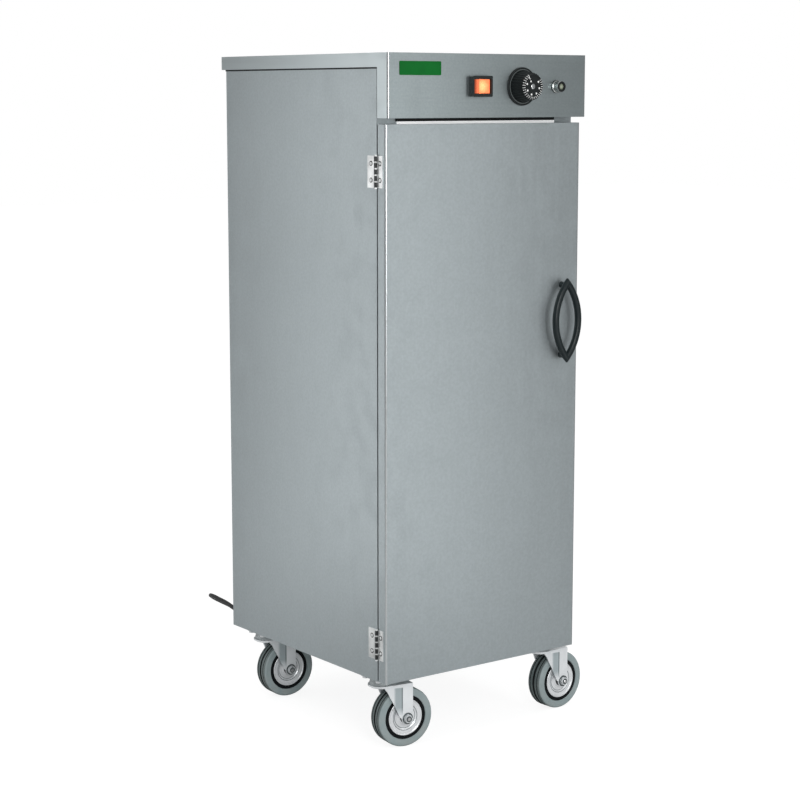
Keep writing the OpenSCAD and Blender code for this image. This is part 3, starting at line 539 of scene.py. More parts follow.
@dataclass(frozen=True)
class PlatedMetal(Finish):
    """Zinc or chrome plate: bright, with faint clouds and a little grime."""

    color: Color
    roughness: float
    grime: float = 0.2
    pebble: float = 0.00003
    metal: float = 1.0
    # glow makes the plate glow though it is no lamp: a painted light.
    glow: float = 0.0

    def build(self) -> Material:
        """Draws grime in the clouds of the marks.

        Returns:
            The material.
        """
        paint = Paint(self.name)
        clouds = paint.marks(45.0, self.roughness, self.roughness + 0.12)
        grain = paint.place(MouldedGrain, Fineness=900.0)
        paint.give("Base Color", paint.blend(paint.times(clouds, self.grime), self.color,
                                             scaled(self.color, 0.6)))
        paint.give("Metallic", self.metal)
        paint.give("Emission Color", rgba(self.color))
        paint.give("Emission Strength", self.glow)
        return paint.raised(grain["Height"], 0.25, self.pebble)


@dataclass(frozen=True)
class HingeSteel(Finish):
    """A hinge's steel: bright leaves, knuckles in painted shade, and a near-black painted shadow on
    their front, with bright joints.

    The knuckles are what lies outside knuckles_from, their front is what lies before pin_y, and
    their joints repeat with pitch from foot_z up.
    """

    color: Color
    knuckles_from: float
    pin_y: float
    foot_z: float
    pitch: float = 0.01
    slit_shadow_color: Color = (0.008, 0.01, 0.011)
    shade: Color = (0.30, 0.33, 0.34)
    roughness: float = 0.28

    def build(self) -> Material:
        """Draws the leaves, then the knuckles by their place.

        Returns:
            The material.
        """
        paint = Paint(self.name)
        at = paint.parts(paint.spot())
        clouds = paint.marks(45.0, self.roughness, self.roughness + 0.12)
        grain = paint.place(MouldedGrain, Fineness=900.0)
        knuckle = paint.ramp(at["X"], self.knuckles_from + 0.0003, self.knuckles_from)
        front = paint.ramp(at["Y"], self.pin_y - 0.0006, self.pin_y + 0.0004, (1.0, 0.0))
        height = paint.math("SUBTRACT", at["Z"], self.foot_z)
        joint = paint.math("PINGPONG", height, self.pitch / 2)
        between = paint.ramp(joint, 0.0008, 0.0013)
        # The knuckles' front takes a near-black painted shadow of the slit at the door leaf; the
        # rest of the knuckles takes a painted shade.
        slit_shadow = paint.times(paint.times(knuckle, front), between)
        wiped = paint.blend(paint.times(clouds, 0.7), self.color, scaled(self.color, 0.5))
        barrel = paint.blend(paint.times(knuckle, between), wiped, self.shade)
        paint.give("Base Color", paint.blend(slit_shadow, barrel, self.slit_shadow_color))
        paint.give("Metallic", paint.ramp(slit_shadow, 0.0, 1.0, (0.6, 0.1)))
        return paint.raised(grain["Height"], 0.25, 0.00003)


@dataclass(frozen=True)
class ForkZinc(Finish):
    """A caster fork's zinc plate, darker in the trough before the crease of its legs and along the
    crease: a painted shade.

    The axle is a point of the fork's axle, and along is the level direction square to it.
    """

    axle: Point
    along: Point
    color: Color = (0.88, 0.91, 0.93)
    trough_shade_color: Color = (0.42, 0.48, 0.50)
    crease_shade_color: Color = (0.16, 0.20, 0.21)
    roughness: float = 0.32
    crease: float = -0.0100
    trough: float = -0.0230
    foot: float = 0.006
    crown: float = 0.053

    def build(self) -> Material:
        """Draws the plate, then the painted shade of the trough and the crease by their place from
        the axle.

        Returns:
            The material.
        """
        paint = Paint(self.name)
        from_axle = paint.vector("SUBTRACT", paint.spot(), self.axle)
        ahead = paint.vector("DOT_PRODUCT", from_axle, self.along)
        height = paint.parts(from_axle)["Z"]
        leg = paint.times(paint.ramp(height, self.foot, self.foot + 0.014),
                          paint.ramp(height, self.crown, self.crown + 0.001, (1.0, 0.0)))
        trough = paint.times(
            paint.ramp(ahead, self.trough - 0.002, self.trough + 0.002),
            paint.ramp(ahead, self.crease - 0.0004, self.crease + 0.0004, (1.0, 0.0)))
        aside = paint.math("ABSOLUTE", paint.math("SUBTRACT", ahead, self.crease))
        crease = paint.ramp(aside, 0.0005, 0.0013, (1.0, 0.0))
        clouds = paint.marks(45.0, self.roughness, self.roughness + 0.12)
        grain = paint.place(MouldedGrain, Fineness=900.0)
        wiped = paint.blend(paint.times(clouds, 0.22), self.color, scaled(self.color, 0.6))
        trough_shade = paint.blend(paint.times(trough, leg), wiped, self.trough_shade_color)
        paint.give("Base Color", paint.blend(paint.times(crease, leg), trough_shade, self.crease_shade_color))
        paint.give("Metallic", 0.45)
        return paint.raised(grain["Height"], 0.25, 0.00008)


@dataclass(frozen=True)
class Moulding(Finish):
    """Moulded plastic or rubber, with its pebbled skin and, low down, dust."""

    color: Color
    roughness: float
    gloss: float = 0.5
    fineness: float = 1800.0
    depth: float = 0.00004
    dust: float = 0.0
    dust_color: Color = (0.36, 0.35, 0.33)
    edge_highlight: float = 0.0
    edge_highlight_color: Color = (0.16, 0.18, 0.18)

    def build(self) -> Material:
        """Draws handling marks and specks, then dust, and a painted highlight on the edges where
        there is one.

        Returns:
            The material.
        """
        paint = Paint(self.name)
        grain = paint.place(MouldedGrain, Fineness=self.fineness)
        clouds = paint.marks(30.0, self.roughness, min(1.0, self.roughness + 0.15))
        worn = tuple(min(1.0, c * 1.25 + 0.003) for c in self.color)
        shade = paint.blend(paint.times(clouds, 0.35), self.color, worn)
        shade = paint.blend(paint.times(grain["Specks"], 0.12), shade, scaled(self.color, 0.7))
        if self.dust > 0.0:
            dust = paint.place(SettledDust, Reach=0.115)["Dust"]
            shade = paint.blend(paint.times(dust, self.dust), shade, self.dust_color)
        # Pale folds and edges are a painted highlight.
        if self.edge_highlight > 0.0:
            fold = paint.place(FoldedEdges, Flat=0.97)["Fold"]
            shade = paint.blend(paint.times(fold, self.edge_highlight), shade, self.edge_highlight_color)
        paint.give("Base Color", shade)
        paint.give("Specular IOR Level", self.gloss)
        return paint.raised(grain["Height"], 0.4, self.depth)


@dataclass(frozen=True)
class LitLens(Finish):
    """A translucent rocker with a lamp behind it: pale yellow at the lamp, dim at its edges, a
    painted shade.
    """

    middle: Point
    half: tuple[float, float]
    reach: float
    rim_color: Color
    lamp_color: Color
    dim_color: Color
    strength: float

    def dimmed(self, paint: Paint, spot: Socket) -> Socket:
        """Finds the left quarter, which the lamp reaches least, and the edges, which take a painted
        shade.

        Args:
            paint: The material's tree.
            spot: Where a point lies.

        Returns:
            The socket of how dim it is.
        """
        at = paint.parts(spot)
        left = paint.math("SUBTRACT", at["X"], self.middle[0])
        dim = paint.ramp(left, -self.half[0] * 0.60, -self.half[0] * 0.50, (0.75, 0.0))
        # The edges are dimmed as a painted shade.
        for axis, middle, half in (("X", self.middle[0], self.half[0]),
                                   ("Z", self.middle[2], self.half[1])):
            aside = paint.math("ABSOLUTE", paint.math("SUBTRACT", at[axis], middle))
            dim = paint.math("MAXIMUM", dim, paint.ramp(aside, half - 0.0022, half - 0.0010))
        return dim

    def build(self) -> Material:
        """Draws the glow round the lamp.

        Returns:
            The material.
        """
        paint = Paint(self.name)
        spot = paint.spot()
        cells = paint.noise(spot, 420.0)
        near = paint.ramp(paint.vector("DISTANCE", spot, self.middle), 0.0, self.reach, (1.0, 0.0))
        mottled = paint.math("MULTIPLY", near, paint.ramp(cells, 0.3, 0.7, (0.75, 1.15)),
                             clamp=True)
        lamp = paint.blend(mottled, self.rim_color, self.lamp_color)
        glow = paint.blend(self.dimmed(paint, spot), lamp, self.dim_color)
        paint.give("Base Color", paint.blend(0.5, glow, self.rim_color))
        paint.give("Emission Color", glow)
        paint.give("Roughness", paint.ramp(cells, 0.3, 0.7, (0.22, 0.34)))
        paint.give("Emission Strength", self.strength)
        return paint.material


@dataclass(frozen=True)
class LampGlass(Finish):
    """The unlit pilot lens: cloudy grey-green glass with a paler middle."""

    middle: Point
    reach: float
    edge_color: Color = (0.06, 0.075, 0.05)
    middle_color: Color = (0.36, 0.40, 0.30)

    def build(self) -> Material:
        """Draws the pale middle and the facets behind the glass.

        Returns:
            The material.
        """
        paint = Paint(self.name)
        spot = paint.spot()
        near = paint.ramp(paint.vector("DISTANCE", spot, self.middle), 0.0, self.reach, (1.0, 0.0))
        facets = paint.noise(spot, 700.0)
        paint.give("Base Color", paint.blend(near, self.edge_color, self.middle_color))
        paint.give("Roughness", paint.ramp(facets, 0.3, 0.7, (0.12, 0.3)))
        paint.give("Coat Weight", 0.6)
        return paint.raised(facets, 0.3, 0.0003)


@dataclass(frozen=True)
class Enamel(Finish):
    """Flat printed or stove-enamelled colour, with a faint orange-peel skin."""

    color: Color
    roughness: float = 0.35
    gloss: float = 0.5

    def build(self) -> Material:
        """Draws faint clouds under the skin.

        Returns:
            The material.
        """
        paint = Paint(self.name)
        grain = paint.place(MouldedGrain, Fineness=600.0)
        clouds = paint.place(HandlingMarks, Size=60.0)["Clouds"]
        paint.give("Base Color", paint.blend(clouds, self.color, scaled(self.color, 0.86)))
        paint.give("Roughness", paint.ramp(grain["Specks"], 0.0, 1.0,
                                           (self.roughness, self.roughness + 0.08)))
        paint.give("Specular IOR Level", self.gloss)
        return paint.raised(grain["Height"], 0.2, 0.00004)


@dataclass(frozen=True)
class MineralWool(Finish):
    """Pressed mineral wool: tangled fibres in straw yellow."""

    deep: Color = (0.34, 0.27, 0.12)
    pale: Color = (0.66, 0.58, 0.36)
    cloud: Color = (0.42, 0.34, 0.18)

    def build(self) -> Material:
        """Draws the fibres and the clouds over them.

        Returns:
            The material.
        """
        paint = Paint(self.name)
        fibres = paint.place(BrushedGrain, Stretch_X=0.35, Stretch_Y=1.0, Stretch_Z=0.5)["Lines"]
        clouds = paint.place(HandlingMarks, Size=25.0)["Clouds"]
        paint.give("Base Color", paint.blend(
            paint.times(clouds, 0.4), paint.blend(fibres, self.deep, self.pale), self.cloud))
        paint.give("Roughness", paint.ramp(fibres, 0.0, 1.0, (0.85, 1.0)))
        return paint.raised(fibres, 1.0, 0.001)


class Finishes:
    """Every material of the cabinet, made once."""

    def __init__(self) -> None:
        """Builds the materials that stand for the record's slots."""
        outer = (0.445, 0.495, 0.512)
        made = {
            "outer_steel": SheetSteel("Brushed steel", outer, 0.42, tone=0.045, across=0.28),
            # The hood steel is a darker copy of the outer steel, a painted shade, with lighter
            # flanks, a painted light.
            "shaded_hood_steel": SheetSteel("Hood steel in painted shade", (0.355, 0.405, 0.415), 0.38, Side.LEVEL,
                                     lit_flank_color=(0.52, 0.575, 0.59)),
            "liner_steel": SheetSteel("Liner steel", (0.43, 0.445, 0.45), 0.38, tone=0.04,
                                      grain_depth=0.00001),
            "hinge_steel": PlatedMetal("Hinge steel", (0.80, 0.82, 0.82), 0.28, 0.3, 0.00003, 0.6),
            "bright_wire": PlatedMetal("Bright wire", (0.72, 0.72, 0.73), 0.16),
            "element_steel": PlatedMetal("Element tube", (0.2, 0.19, 0.18), 0.42, 0.6),
            "chrome": PlatedMetal("Chrome", (0.58, 0.6, 0.61), 0.14, 0.3),
            # A darker copy of the chrome for the pilot's sleeve: a painted shade.
            "shaded_pilot_chrome": PlatedMetal("Pilot chrome in painted shade", (0.40, 0.42, 0.41), 0.24, 0.3),
            "zinc": PlatedMetal("Zinc plate", (0.84, 0.86, 0.88), 0.32, 0.22, 0.00008, 0.45),
            "shaded_zinc": PlatedMetal("Shaded zinc", (0.46, 0.50, 0.51), 0.42, 0.5, 0.00008, 0.45),
            "ring_zinc": PlatedMetal("Ring zinc", (0.30, 0.34, 0.35), 0.42, 0.4, 0.00008, 0.4),
            "dark_zinc": PlatedMetal("Dark zinc", (0.10, 0.12, 0.125), 0.42, 0.4, 0.00008, 0.4),
            "copper": PlatedMetal("Copper", (0.62, 0.33, 0.2), 0.3, 0.5),
            "ivory_plastic": Moulding("Ivory plastic", (0.72, 0.66, 0.54), 0.42),
            "black_plastic": Moulding("Black plastic", (0.009, 0.0115, 0.012), 0.4, 0.2, 2400.0),
            "housing_plastic": Moulding("Switch housing", (0.009, 0.0125, 0.013), 0.36, 0.3,
                                        2400.0, edge_highlight=0.9),
            # Pale grey for the ring on the knob's bezel: a painted highlight.
            "satin_grey": Moulding("Satin grey", (0.10, 0.115, 0.115), 0.3, 0.5, 2400.0),
            # Near-black for the rings round the hinge screws: a painted shadow.
            "screw_shadow": Moulding("Painted screw shadow", (0.012, 0.014, 0.015), 0.5, 0.25, 2400.0),
            "handle_plastic": Moulding("Handle plastic", (0.005, 0.0105, 0.012), 0.28, 0.3,
                                       1500.0, 0.00002),
            "wheel_core": Moulding("Wheel core", (0.004, 0.0055, 0.0065), 0.5, 0.1),
            "grey_tyre": Moulding("Grey tyre", (0.262, 0.318, 0.325), 0.62, 0.35, 900.0,
                                  0.00008, 0.35),
            # The tread's darker rubber and the grooves' near-black are a painted shade.
            "shaded_tread": Moulding("Tread in painted shade", (0.125, 0.155, 0.155), 0.7, 0.3, 900.0,
                                   0.00008, 0.25),
            "groove_shade": Moulding("Groove in painted shade", (0.010, 0.014, 0.014), 0.8, 0.15),
            # The trim glows though it is no lamp: a painted light for the lit front frame seen
            # above the door.
            "bright_trim": PlatedMetal("Trim with painted glow", (0.95, 0.96, 0.96), 0.3, 0.1, metal=0.3,
                                       glow=0.35),
            "gasket": Moulding("Gasket", (0.09, 0.092, 0.095), 0.55),
            "magnet": Moulding("Magnet", (0.05, 0.05, 0.052), 0.5),
            "black_cable": Moulding("Mains lead", (0.016, 0.017, 0.018), 0.42, 0.5, 1300.0),
            "white_print": Enamel("White print", (0.82, 0.83, 0.82)),
            "green_enamel": Enamel("Green enamel", (0.0, 0.125, 0.016), 0.5, 0.15),
            "mineral_wool": MineralWool("Mineral wool"),
        }
        self.by_name = {name: finish.build() for name, finish in made.items()}

    def add(self, name: str, finish: Finish) -> None:
        """Adds a finish that depends on where its piece is."""
        self.by_name[name] = finish.build()

    def dress(self, piece: Piece, name: str) -> None:
        """Gives a piece one finish, in all its slots."""
        piece.data.materials.clear()
        piece.data.materials.append(self.by_name[name])

    def piece(self, name: str, shape: Shape, finish: str, smooth: float = 30.0) -> Piece:
        """Turns a shape into an object with a finish.

        Args:
            name: The object's name.
            shape: The mesh, which is used up.
            finish: The finish's name.
            smooth: Angle in degrees up to which edges are smooth.

        Returns:
            The new object.
        """
        made = from_bmesh(name, shape, smooth)
        self.dress(made, finish)
        return made


# ---------------------------------------------------------------------------
# Meshes
# ---------------------------------------------------------------------------


def link(name: str, data: bpy.types.ID) -> Piece:
    """Puts new data into the scene as a named object.

    Args:
        name: The object's name.
        data: Its mesh, curve, lamp or camera.

    Returns:
        The new object.
    """
    piece = bpy.data.objects.new(name, data)
    bpy.context.scene.collection.objects.link(piece)
    return piece


def from_bmesh(name: str, shape: Shape, smooth: float | None = 35.0) -> Piece:
    """Turns a bmesh into an object.

    Args:
        name: The object's name.
        shape: The mesh, which is used up.
        smooth: Angle in degrees up to which edges are smooth, or None for flat faces.

    Returns:
        The new object.
    """
    bmesh.ops.recalc_face_normals(shape, faces=shape.faces)
    if smooth is not None:
        for face in shape.faces:
            face.smooth = True
        for edge in shape.edges:
            sharp = len(edge.link_faces) != 2 or edge.calc_face_angle(0.0) > math.radians(smooth)
            edge.smooth = not sharp
    mesh = bpy.data.meshes.new(name)
    shape.to_mesh(mesh)
    shape.free()
    return link(name, mesh)


def facing(middle: Vector, axis: Vector) -> Matrix:
    """Gives the matrix that stands local Z along an axis at a point."""
    return Matrix.Translation(middle) @ axis.to_track_quat("Z", "Y").to_matrix().to_4x4()


def lathe(shape: Shape, profile: Profile, place_at: Matrix, segments: int,
          closed: bool = False) -> None:
    """Turns a profile round local Z into a shape.

    Args:
        shape: The mesh that it goes into.
        profile: Radius and height of each point.
        place_at: Where local Z stands.
        segments: How many steps the round has.
        closed: Whether the last point joins the first.
    """
    rings = []
    for radius, height in profile:
        turns = [math.tau * i / segments for i in range(segments if radius else 1)]
        spots = [Vector((radius * math.cos(t), radius * math.sin(t), height)) for t in turns]
        rings.append([shape.verts.new(place_at @ spot) for spot in spots])
    pairs = list(zip(rings, rings[1:]))
    if closed:
        pairs.append((rings[-1], rings[0]))
    for low, high in pairs:
        for i in range(segments):
            j = (i + 1) % segments
            corners = (low[i % len(low)], low[j % len(low)],
                       high[j % len(high)], high[i % len(high)])
            shape.faces.new(list(dict.fromkeys(corners)))


def plate(shape: Shape, outline: Profile, place_at: Matrix, low: float, high: float) -> None:
    """Extrudes a flat outline along local Z, as a closed solid.

    Args:
        shape: The mesh that it goes into.
        outline: Its points, in order.
        place_at: Where local Z stands.
        low: Height of the back.
        high: Height of the face.
    """
    bottom = [shape.verts.new(place_at @ Vector((x, y, low))) for x, y in outline]
    top = [shape.verts.new(place_at @ Vector((x, y, high))) for x, y in outline]
    shape.faces.new(bottom[::-1])
    shape.faces.new(top)
    for i in range(len(outline)):
        shape.faces.new([bottom[i - 1], bottom[i], top[i], top[i - 1]])


def rounded_outline(width: float, height: float, radius: float, steps: int = 6) -> Profile:
    """Works out a rectangle with round corners, about its middle.

    Args:
        width: Its width.
        height: Its height.
        radius: Radius of its corners.
        steps: Steps of each corner.

    Returns:
        Its points, in order.
    """
    points = []
    for quarter, (sx, sy) in enumerate(((1, 1), (-1, 1), (-1, -1), (1, -1))):
        for step in range(steps + 1):
            angle = math.radians(90 * quarter + 90 * step / steps)
            points.append((sx * (width / 2 - radius) + radius * math.cos(angle),
                           sy * (height / 2 - radius) + radius * math.sin(angle)))
    return points


def add_bevel(piece: Piece, width: float, segments: int = 2, angle: float = 40.0) -> None:
    """Rounds a piece's edges with a modifier.

    Args:
        piece: The piece.
        width: Width of the rounding in metres.
        segments: Steps across the rounding.
        angle: Edges sharper than this, in degrees, are rounded.
    """
    bevel = piece.modifiers.new("Soft edges", "BEVEL")
    bevel.width = width
    bevel.segments = segments
    bevel.limit_method = "ANGLE"
    bevel.angle_limit = math.radians(angle)


def middle_of(node: str) -> Vector:
    """Gives the middle of a node's box."""
    low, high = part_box(node)
    return (low + high) / 2


def front_of(node: str, behind: float = 0.0) -> Vector:
    """Gives the middle of a node's front side, or a point behind it."""
    low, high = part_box(node)
    return Vector(((low.x + high.x) / 2, low.y + behind, (low.z + high.z) / 2))


# ---------------------------------------------------------------------------
# Sub-assemblies
# ---------------------------------------------------------------------------


@dataclass
class CameraStand:
    """The camera, where the photographer stood."""

    place_at: Point = (-2.0424, -2.6846, 1.0589)
    look_down: float = 8.7436
    look_right: float = 36.7742
    focal_mm: float = 88.941
    sensor_mm: float = 36.0

    def build(self) -> None:
        """Makes the camera and gives it to the scene."""
        data = bpy.data.cameras.new("camera")
        data.lens = self.focal_mm
        data.sensor_width = self.sensor_mm
        data.clip_end = 60.0
        camera = link("camera", data)
        camera.location = self.place_at
        camera.rotation_euler = (math.radians(90.0 - self.look_down), 0.0,
                                 math.radians(-self.look_right))
        bpy.context.scene.camera = camera


# Steps of the lead from the gland's end: X and Y in metres, then the share of the gland's height
LEAD_STEPS: Sequence[Point] = (
    (0, 0, 1), (0, 0.007, 1), (-0.0006, 0.016, 1.013), (-0.002, 0.026, 1.035),
    (-0.004, 0.038, 1.054), (-0.005, 0.053, 1.065), (-0.004, 0.068, 1.069),
    (-0.0015, 0.082, 1.061), (0.0035, 0.095, 1.043), (0.0115, 0.107, 1.011),
    (0.022, 0.117, 0.964), (0.035, 0.125, 0.909), (0.05, 0.131, 0.848), (0.066, 0.135, 0.783),
    (0.082, 0.137, 0.711), (0.098, 0.138, 0.631), (0.113, 0.137, 0.544), (0.127, 0.135, 0.45),
    (0.14, 0.133, 0.356), (0.153, 0.13, 0.266), (0.167, 0.127, 0.183), (0.183, 0.123, 0.11),
    (0.201, 0.1185, 0.052), (0.22, 0.1135, 0.016), (0.239, 0.1085, 0.002), (0.257, 0.1052, 0),
    (0.272, 0.1044, 0), (0.281, 0.1044, 0),
)

# The lead's rise from the coil's top layer to the plug, from the coil's last point
TAIL_STEPS: Sequence[Point] = (
    (0.015, 0, 0.0005), (0.03, -0.0005, 0.002), (0.044, -0.001, 0.0042),
    (0.056, -0.0015, 0.0058), (0.0645, -0.0015, 0.0068),
)


@dataclass
class MainsLead:
    """The black lead from the gland to the coil and the plug behind the cabinet."""

    finishes: Finishes
    diameter: float = 0.0075
    coil_radius: float = 0.052
    coil_spacing: float = 0.0082
    turns_in: float = 1.75
    climb_inwards: float = 0.0022
    rings_per_turn: int = 24
    smoothing: int = 3
    exit: Vector = field(default_factory=lambda: Vector((0, 0, 0)))

    def hanging_points(self) -> list[Vector]:
        """Works out the stretch from the gland down to the floor.

        Returns:
            Its points, in order.
        """
        radius = self.diameter / 2
        return [Vector((self.exit.x + x, self.exit.y + y, radius + (self.exit.z - radius) * share))
                for x, y, share in LEAD_STEPS]

    def coil_point(self, turn: float, middle: Vector) -> Vector:
        """Gives a point of the coil, which winds in, climbs a layer and winds out.

        Args:
            turn: How many turns it is from the coil's start.
            middle: The coil's middle on the floor.

        Returns:
            The point.
        """
        turns = 2 * self.turns_in + 0.5
        climb = (turn - self.turns_in) * 2
        inner = self.coil_radius - self.coil_spacing * self.turns_in
        if turn <= self.turns_in:
            radius = self.coil_radius - self.coil_spacing * turn
        elif climb >= 1:
            radius = self.coil_radius - self.coil_spacing * (turns - turn)
        else:
            radius = inner - self.climb_inwards * math.sin(math.pi * climb)
        rise = (1 - math.cos(math.pi * max(0.0, min(1.0, climb)))) / 2
        angle = math.radians(90 - 360 * turn)
        return Vector((middle.x + radius * math.cos(angle), middle.y + radius * math.sin(angle),
                       self.diameter / 2 + self.coil_spacing * rise))

    def coil_points(self, start: Vector) -> list[Vector]:
        """Works out the coil and its tail up to the plug.

        Args:
            start: The first point of the coil.

        Returns:
            The points, in order.
        """
        middle = start - Vector((0, self.coil_radius, 0))
        turns = 2 * self.turns_in + 0.5
        count = round(turns * self.rings_per_turn)
        points = [self.coil_point(i / self.rings_per_turn, middle) for i in range(count + 1)]
        last = points[-1]
        points += [last + Vector(step) for step in TAIL_STEPS]
        points.append(points[-1] + Vector((self.diameter, 0, 0)))
        return points

    def smoothed(self, points: Sequence[Vector]) -> list[Vector]:
        """Draws a smooth Catmull-Rom line through points.

        Args:
            points: The points, in order.

        Returns:
            The line's points.
        """
        line = []
        last = len(points) - 1
        for i in range(last):
            p0, p1, p2, p3 = (points[max(0, min(last, i + k))] for k in (-1, 0, 1, 2))
            for step in range(self.smoothing):
                t = step / self.smoothing
                square, cube = 2 * p0 - 5 * p1 + 4 * p2 - p3, 3 * p1 - p0 - 3 * p2 + p3
                line.append(0.5 * ((2 * p1) + (p2 - p0) * t + square * t * t + cube * t ** 3))
        line.append(points[last])
        return line

    def build(self) -> None:
        low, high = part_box("cable_gland")
        self.exit = Vector(((low.x + high.x) / 2, high.y, (low.z + high.z) / 2))
        hanging = self.hanging_points()
        coil = self.coil_points(hanging[-1] + Vector((self.diameter, 0, 0)))
        line = self.smoothed(hanging + coil)
        data = bpy.data.curves.new("mains_lead", "CURVE")
        data.dimensions = "3D"
        data.bevel_depth = self.diameter / 2
        data.bevel_resolution = 4
        data.use_fill_caps = True
        spline = data.splines.new("POLY")
        spline.points.add(len(line) - 1)
        for point, spot in zip(spline.points, line):
            point.co = (*spot, 1.0)
        spline.use_smooth = True
        lead = link("mains_lead", data)
        self.finishes.dress(lead, "black_cable")
        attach(lead, "cabinet")
        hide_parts("power_lead", "lead_coil")


@dataclass
class SheetBody:
    """The folded sheet pieces and the plain inner pieces, which keep their own solids."""

    finishes: Finishes
    nodes: dict[str, Piece]
    slots: dict[str, str]
    edge: float = 0.0004
    knuckle_out: float = 0.0021
    bevelled: Sequence[str] = ("top_hood", "side_panel_left", "side_panel_right", "rear_panel",
                               "front_frame", "door_skin", "base_pan", "rocker_housing")
    special: dict[str, str] = field(default_factory=lambda: {
        "top_hood": "shaded_hood_steel", "door_handle": "handle_plastic",
        "rocker_housing": "housing_plastic", "pilot_sleeve": "shaded_pilot_chrome",
        "caster_plates": "shaded_zinc"})

    def dress_hinges(self) -> None:
        """Gives each hinge's leaves their steel, with its joints at the hinge's own height."""
        knuckles_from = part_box("side_panel_left")[0].x - self.knuckle_out
        pin_y = middle_of("hinge_pins").y
        for level in ("lower", "upper"):
            finish = f"{level}_leaf_steel"
            foot_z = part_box(f"{level}_hinge_frame_leaf")[0].z
            self.finishes.add(finish, HingeSteel(f"Hinge leaves {level}", (0.80, 0.82, 0.82),
                                                 knuckles_from, pin_y, foot_z))
            for leaf in ("frame", "door"):
                self.finishes.dress(self.nodes[f"{level}_hinge_{leaf}_leaf"], finish)

    def build(self) -> None:
        """Dresses every node with its slot's finish, then the nodes that differ."""
        for name, node in self.nodes.items():
            self.finishes.dress(node, self.slots[name])
        for name, finish in self.special.items():
            self.finishes.dress(self.nodes[name], finish)
        self.dress_hinges()
        for name in self.bevelled:
            add_bevel(self.nodes[name], self.edge)
        LOG.info("dressed %d nodes", len(self.nodes))


@dataclass
class BlankBadge:
    """A plain green plate with round corners on the control panel."""

    finishes: Finishes
    width: float = 0.081
    height: float = 0.0215
    thickness: float = 0.0008
    from_left: float = 0.0625
    from_top: float = 0.0235
    corner_radius: float = 0.0016
    edge: float = 0.0002

    def build(self) -> None:
        """Makes the plate on the panel's face."""
        low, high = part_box("top_hood")
        middle = Vector((low.x + self.from_left, low.y, high.z - self.from_top))
        shape = bmesh.new()
        outline = rounded_outline(self.width, self.height, self.corner_radius)
        plate(shape, outline, facing(middle, FRONT), 0.0, self.thickness)
        badge = self.finishes.piece("badge_plate", shape, "green_enamel")
        add_bevel(badge, self.edge)
        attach(badge, "cabinet")
        LOG.info("badge plate")


@dataclass
class HoodShadowStrip:
    """The black strip along the joint between the hood's skirt and the side panels: a painted
    shadow of the gap there.
    """

    finishes: Finishes
    rim: float = 0.022
    skirt_end: float = 0.028
    size: float = 0.0015
    depth: float = 0.0024
    edge: float = 0.0003

    def run(self, shape: Shape, low: Point, high: Point) -> None:
        """Adds one straight run between two corners."""
        corners = [(low[0], low[1]), (high[0], low[1]), (high[0], high[1]), (low[0], high[1])]
        plate(shape, corners, Matrix.Identity(4), low[2], high[2])

    def build(self) -> None:
        """Makes the strip along both sides, under the rim and behind the skirt."""
        low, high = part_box("top_hood")
        left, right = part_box("side_panel_left")[0].x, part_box("side_panel_right")[1].x
        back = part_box("side_panel_left")[1].y
        rim_z, skirt_y, size = high.z - self.rim, low.y + self.skirt_end, self.size
        shape = bmesh.new()
        for inner, outer in ((left, left - size), (right, right + size)):
            near, far = sorted((inner, outer))
            self.run(shape, (near, skirt_y, rim_z - self.depth), (far, back, rim_z))
            self.run(shape, (near, skirt_y, low.z), (far, skirt_y + self.depth, rim_z - self.depth))
        shadow_strip = self.finishes.piece("hood_shadow_strip", shape, "black_plastic")
        add_bevel(shadow_strip, self.edge)
        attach(shadow_strip, "cabinet")
        LOG.info("hood shadow strip")


@dataclass
class PanelShadowAndGlowStrips:
    """A black strip, a painted shadow under the panel, and a glowing white strip, a painted light,
    on the front frame, seen in the gap above the door.
    """

    finishes: Finishes
    half_width: float = 0.162
    thickness: float = 0.0016
    shadow_strip_height: float = 0.0052
    glow_strip_height: float = 0.0046
    shadow_strip_overhang: float = 0.002
    corner_radius: float = 0.0006
    edge: float = 0.0003

    def strip(self, name: str, finish: str, low: Vector, high: Vector) -> None:
        """Makes one strip between two corners.

        Args:
            name: The strip's name.
            finish: Its finish.
            low: Its lowest corner.
            high: Its highest corner.
        """
        size = high - low
        middle = (low + high) / 2
        shape = bmesh.new()
        outline = rounded_outline(size.x, size.z, self.corner_radius)
        plate(shape, outline, facing(Vector((middle.x, high.y, middle.z)), FRONT), 0.0, size.y)
        strip = self.finishes.piece(name, shape, finish)
        add_bevel(strip, self.edge)
        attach(strip, "cabinet")

    def build(self) -> None:
        """Makes both strips."""
        frame_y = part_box("front_frame")[0].y
        panel_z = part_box("top_hood")[0].z
        middle_x = middle_of("front_frame").x
        left, right = middle_x - self.half_width, middle_x + self.half_width
        near, split = frame_y - self.thickness, panel_z - self.shadow_strip_height
        # The upper black strip is a painted shadow; the glowing strip under it is a painted light.
        shadow_strip_low = Vector((left - self.shadow_strip_overhang, near, split))
        self.strip("panel_shadow_strip", "black_plastic", shadow_strip_low, Vector((right, frame_y, panel_z)))
        self.strip("panel_glow_strip", "bright_trim", Vector((left, near, split - self.glow_strip_height)),
                   Vector((right, frame_y, split)))
        LOG.info("panel strips: painted shadow and glow")


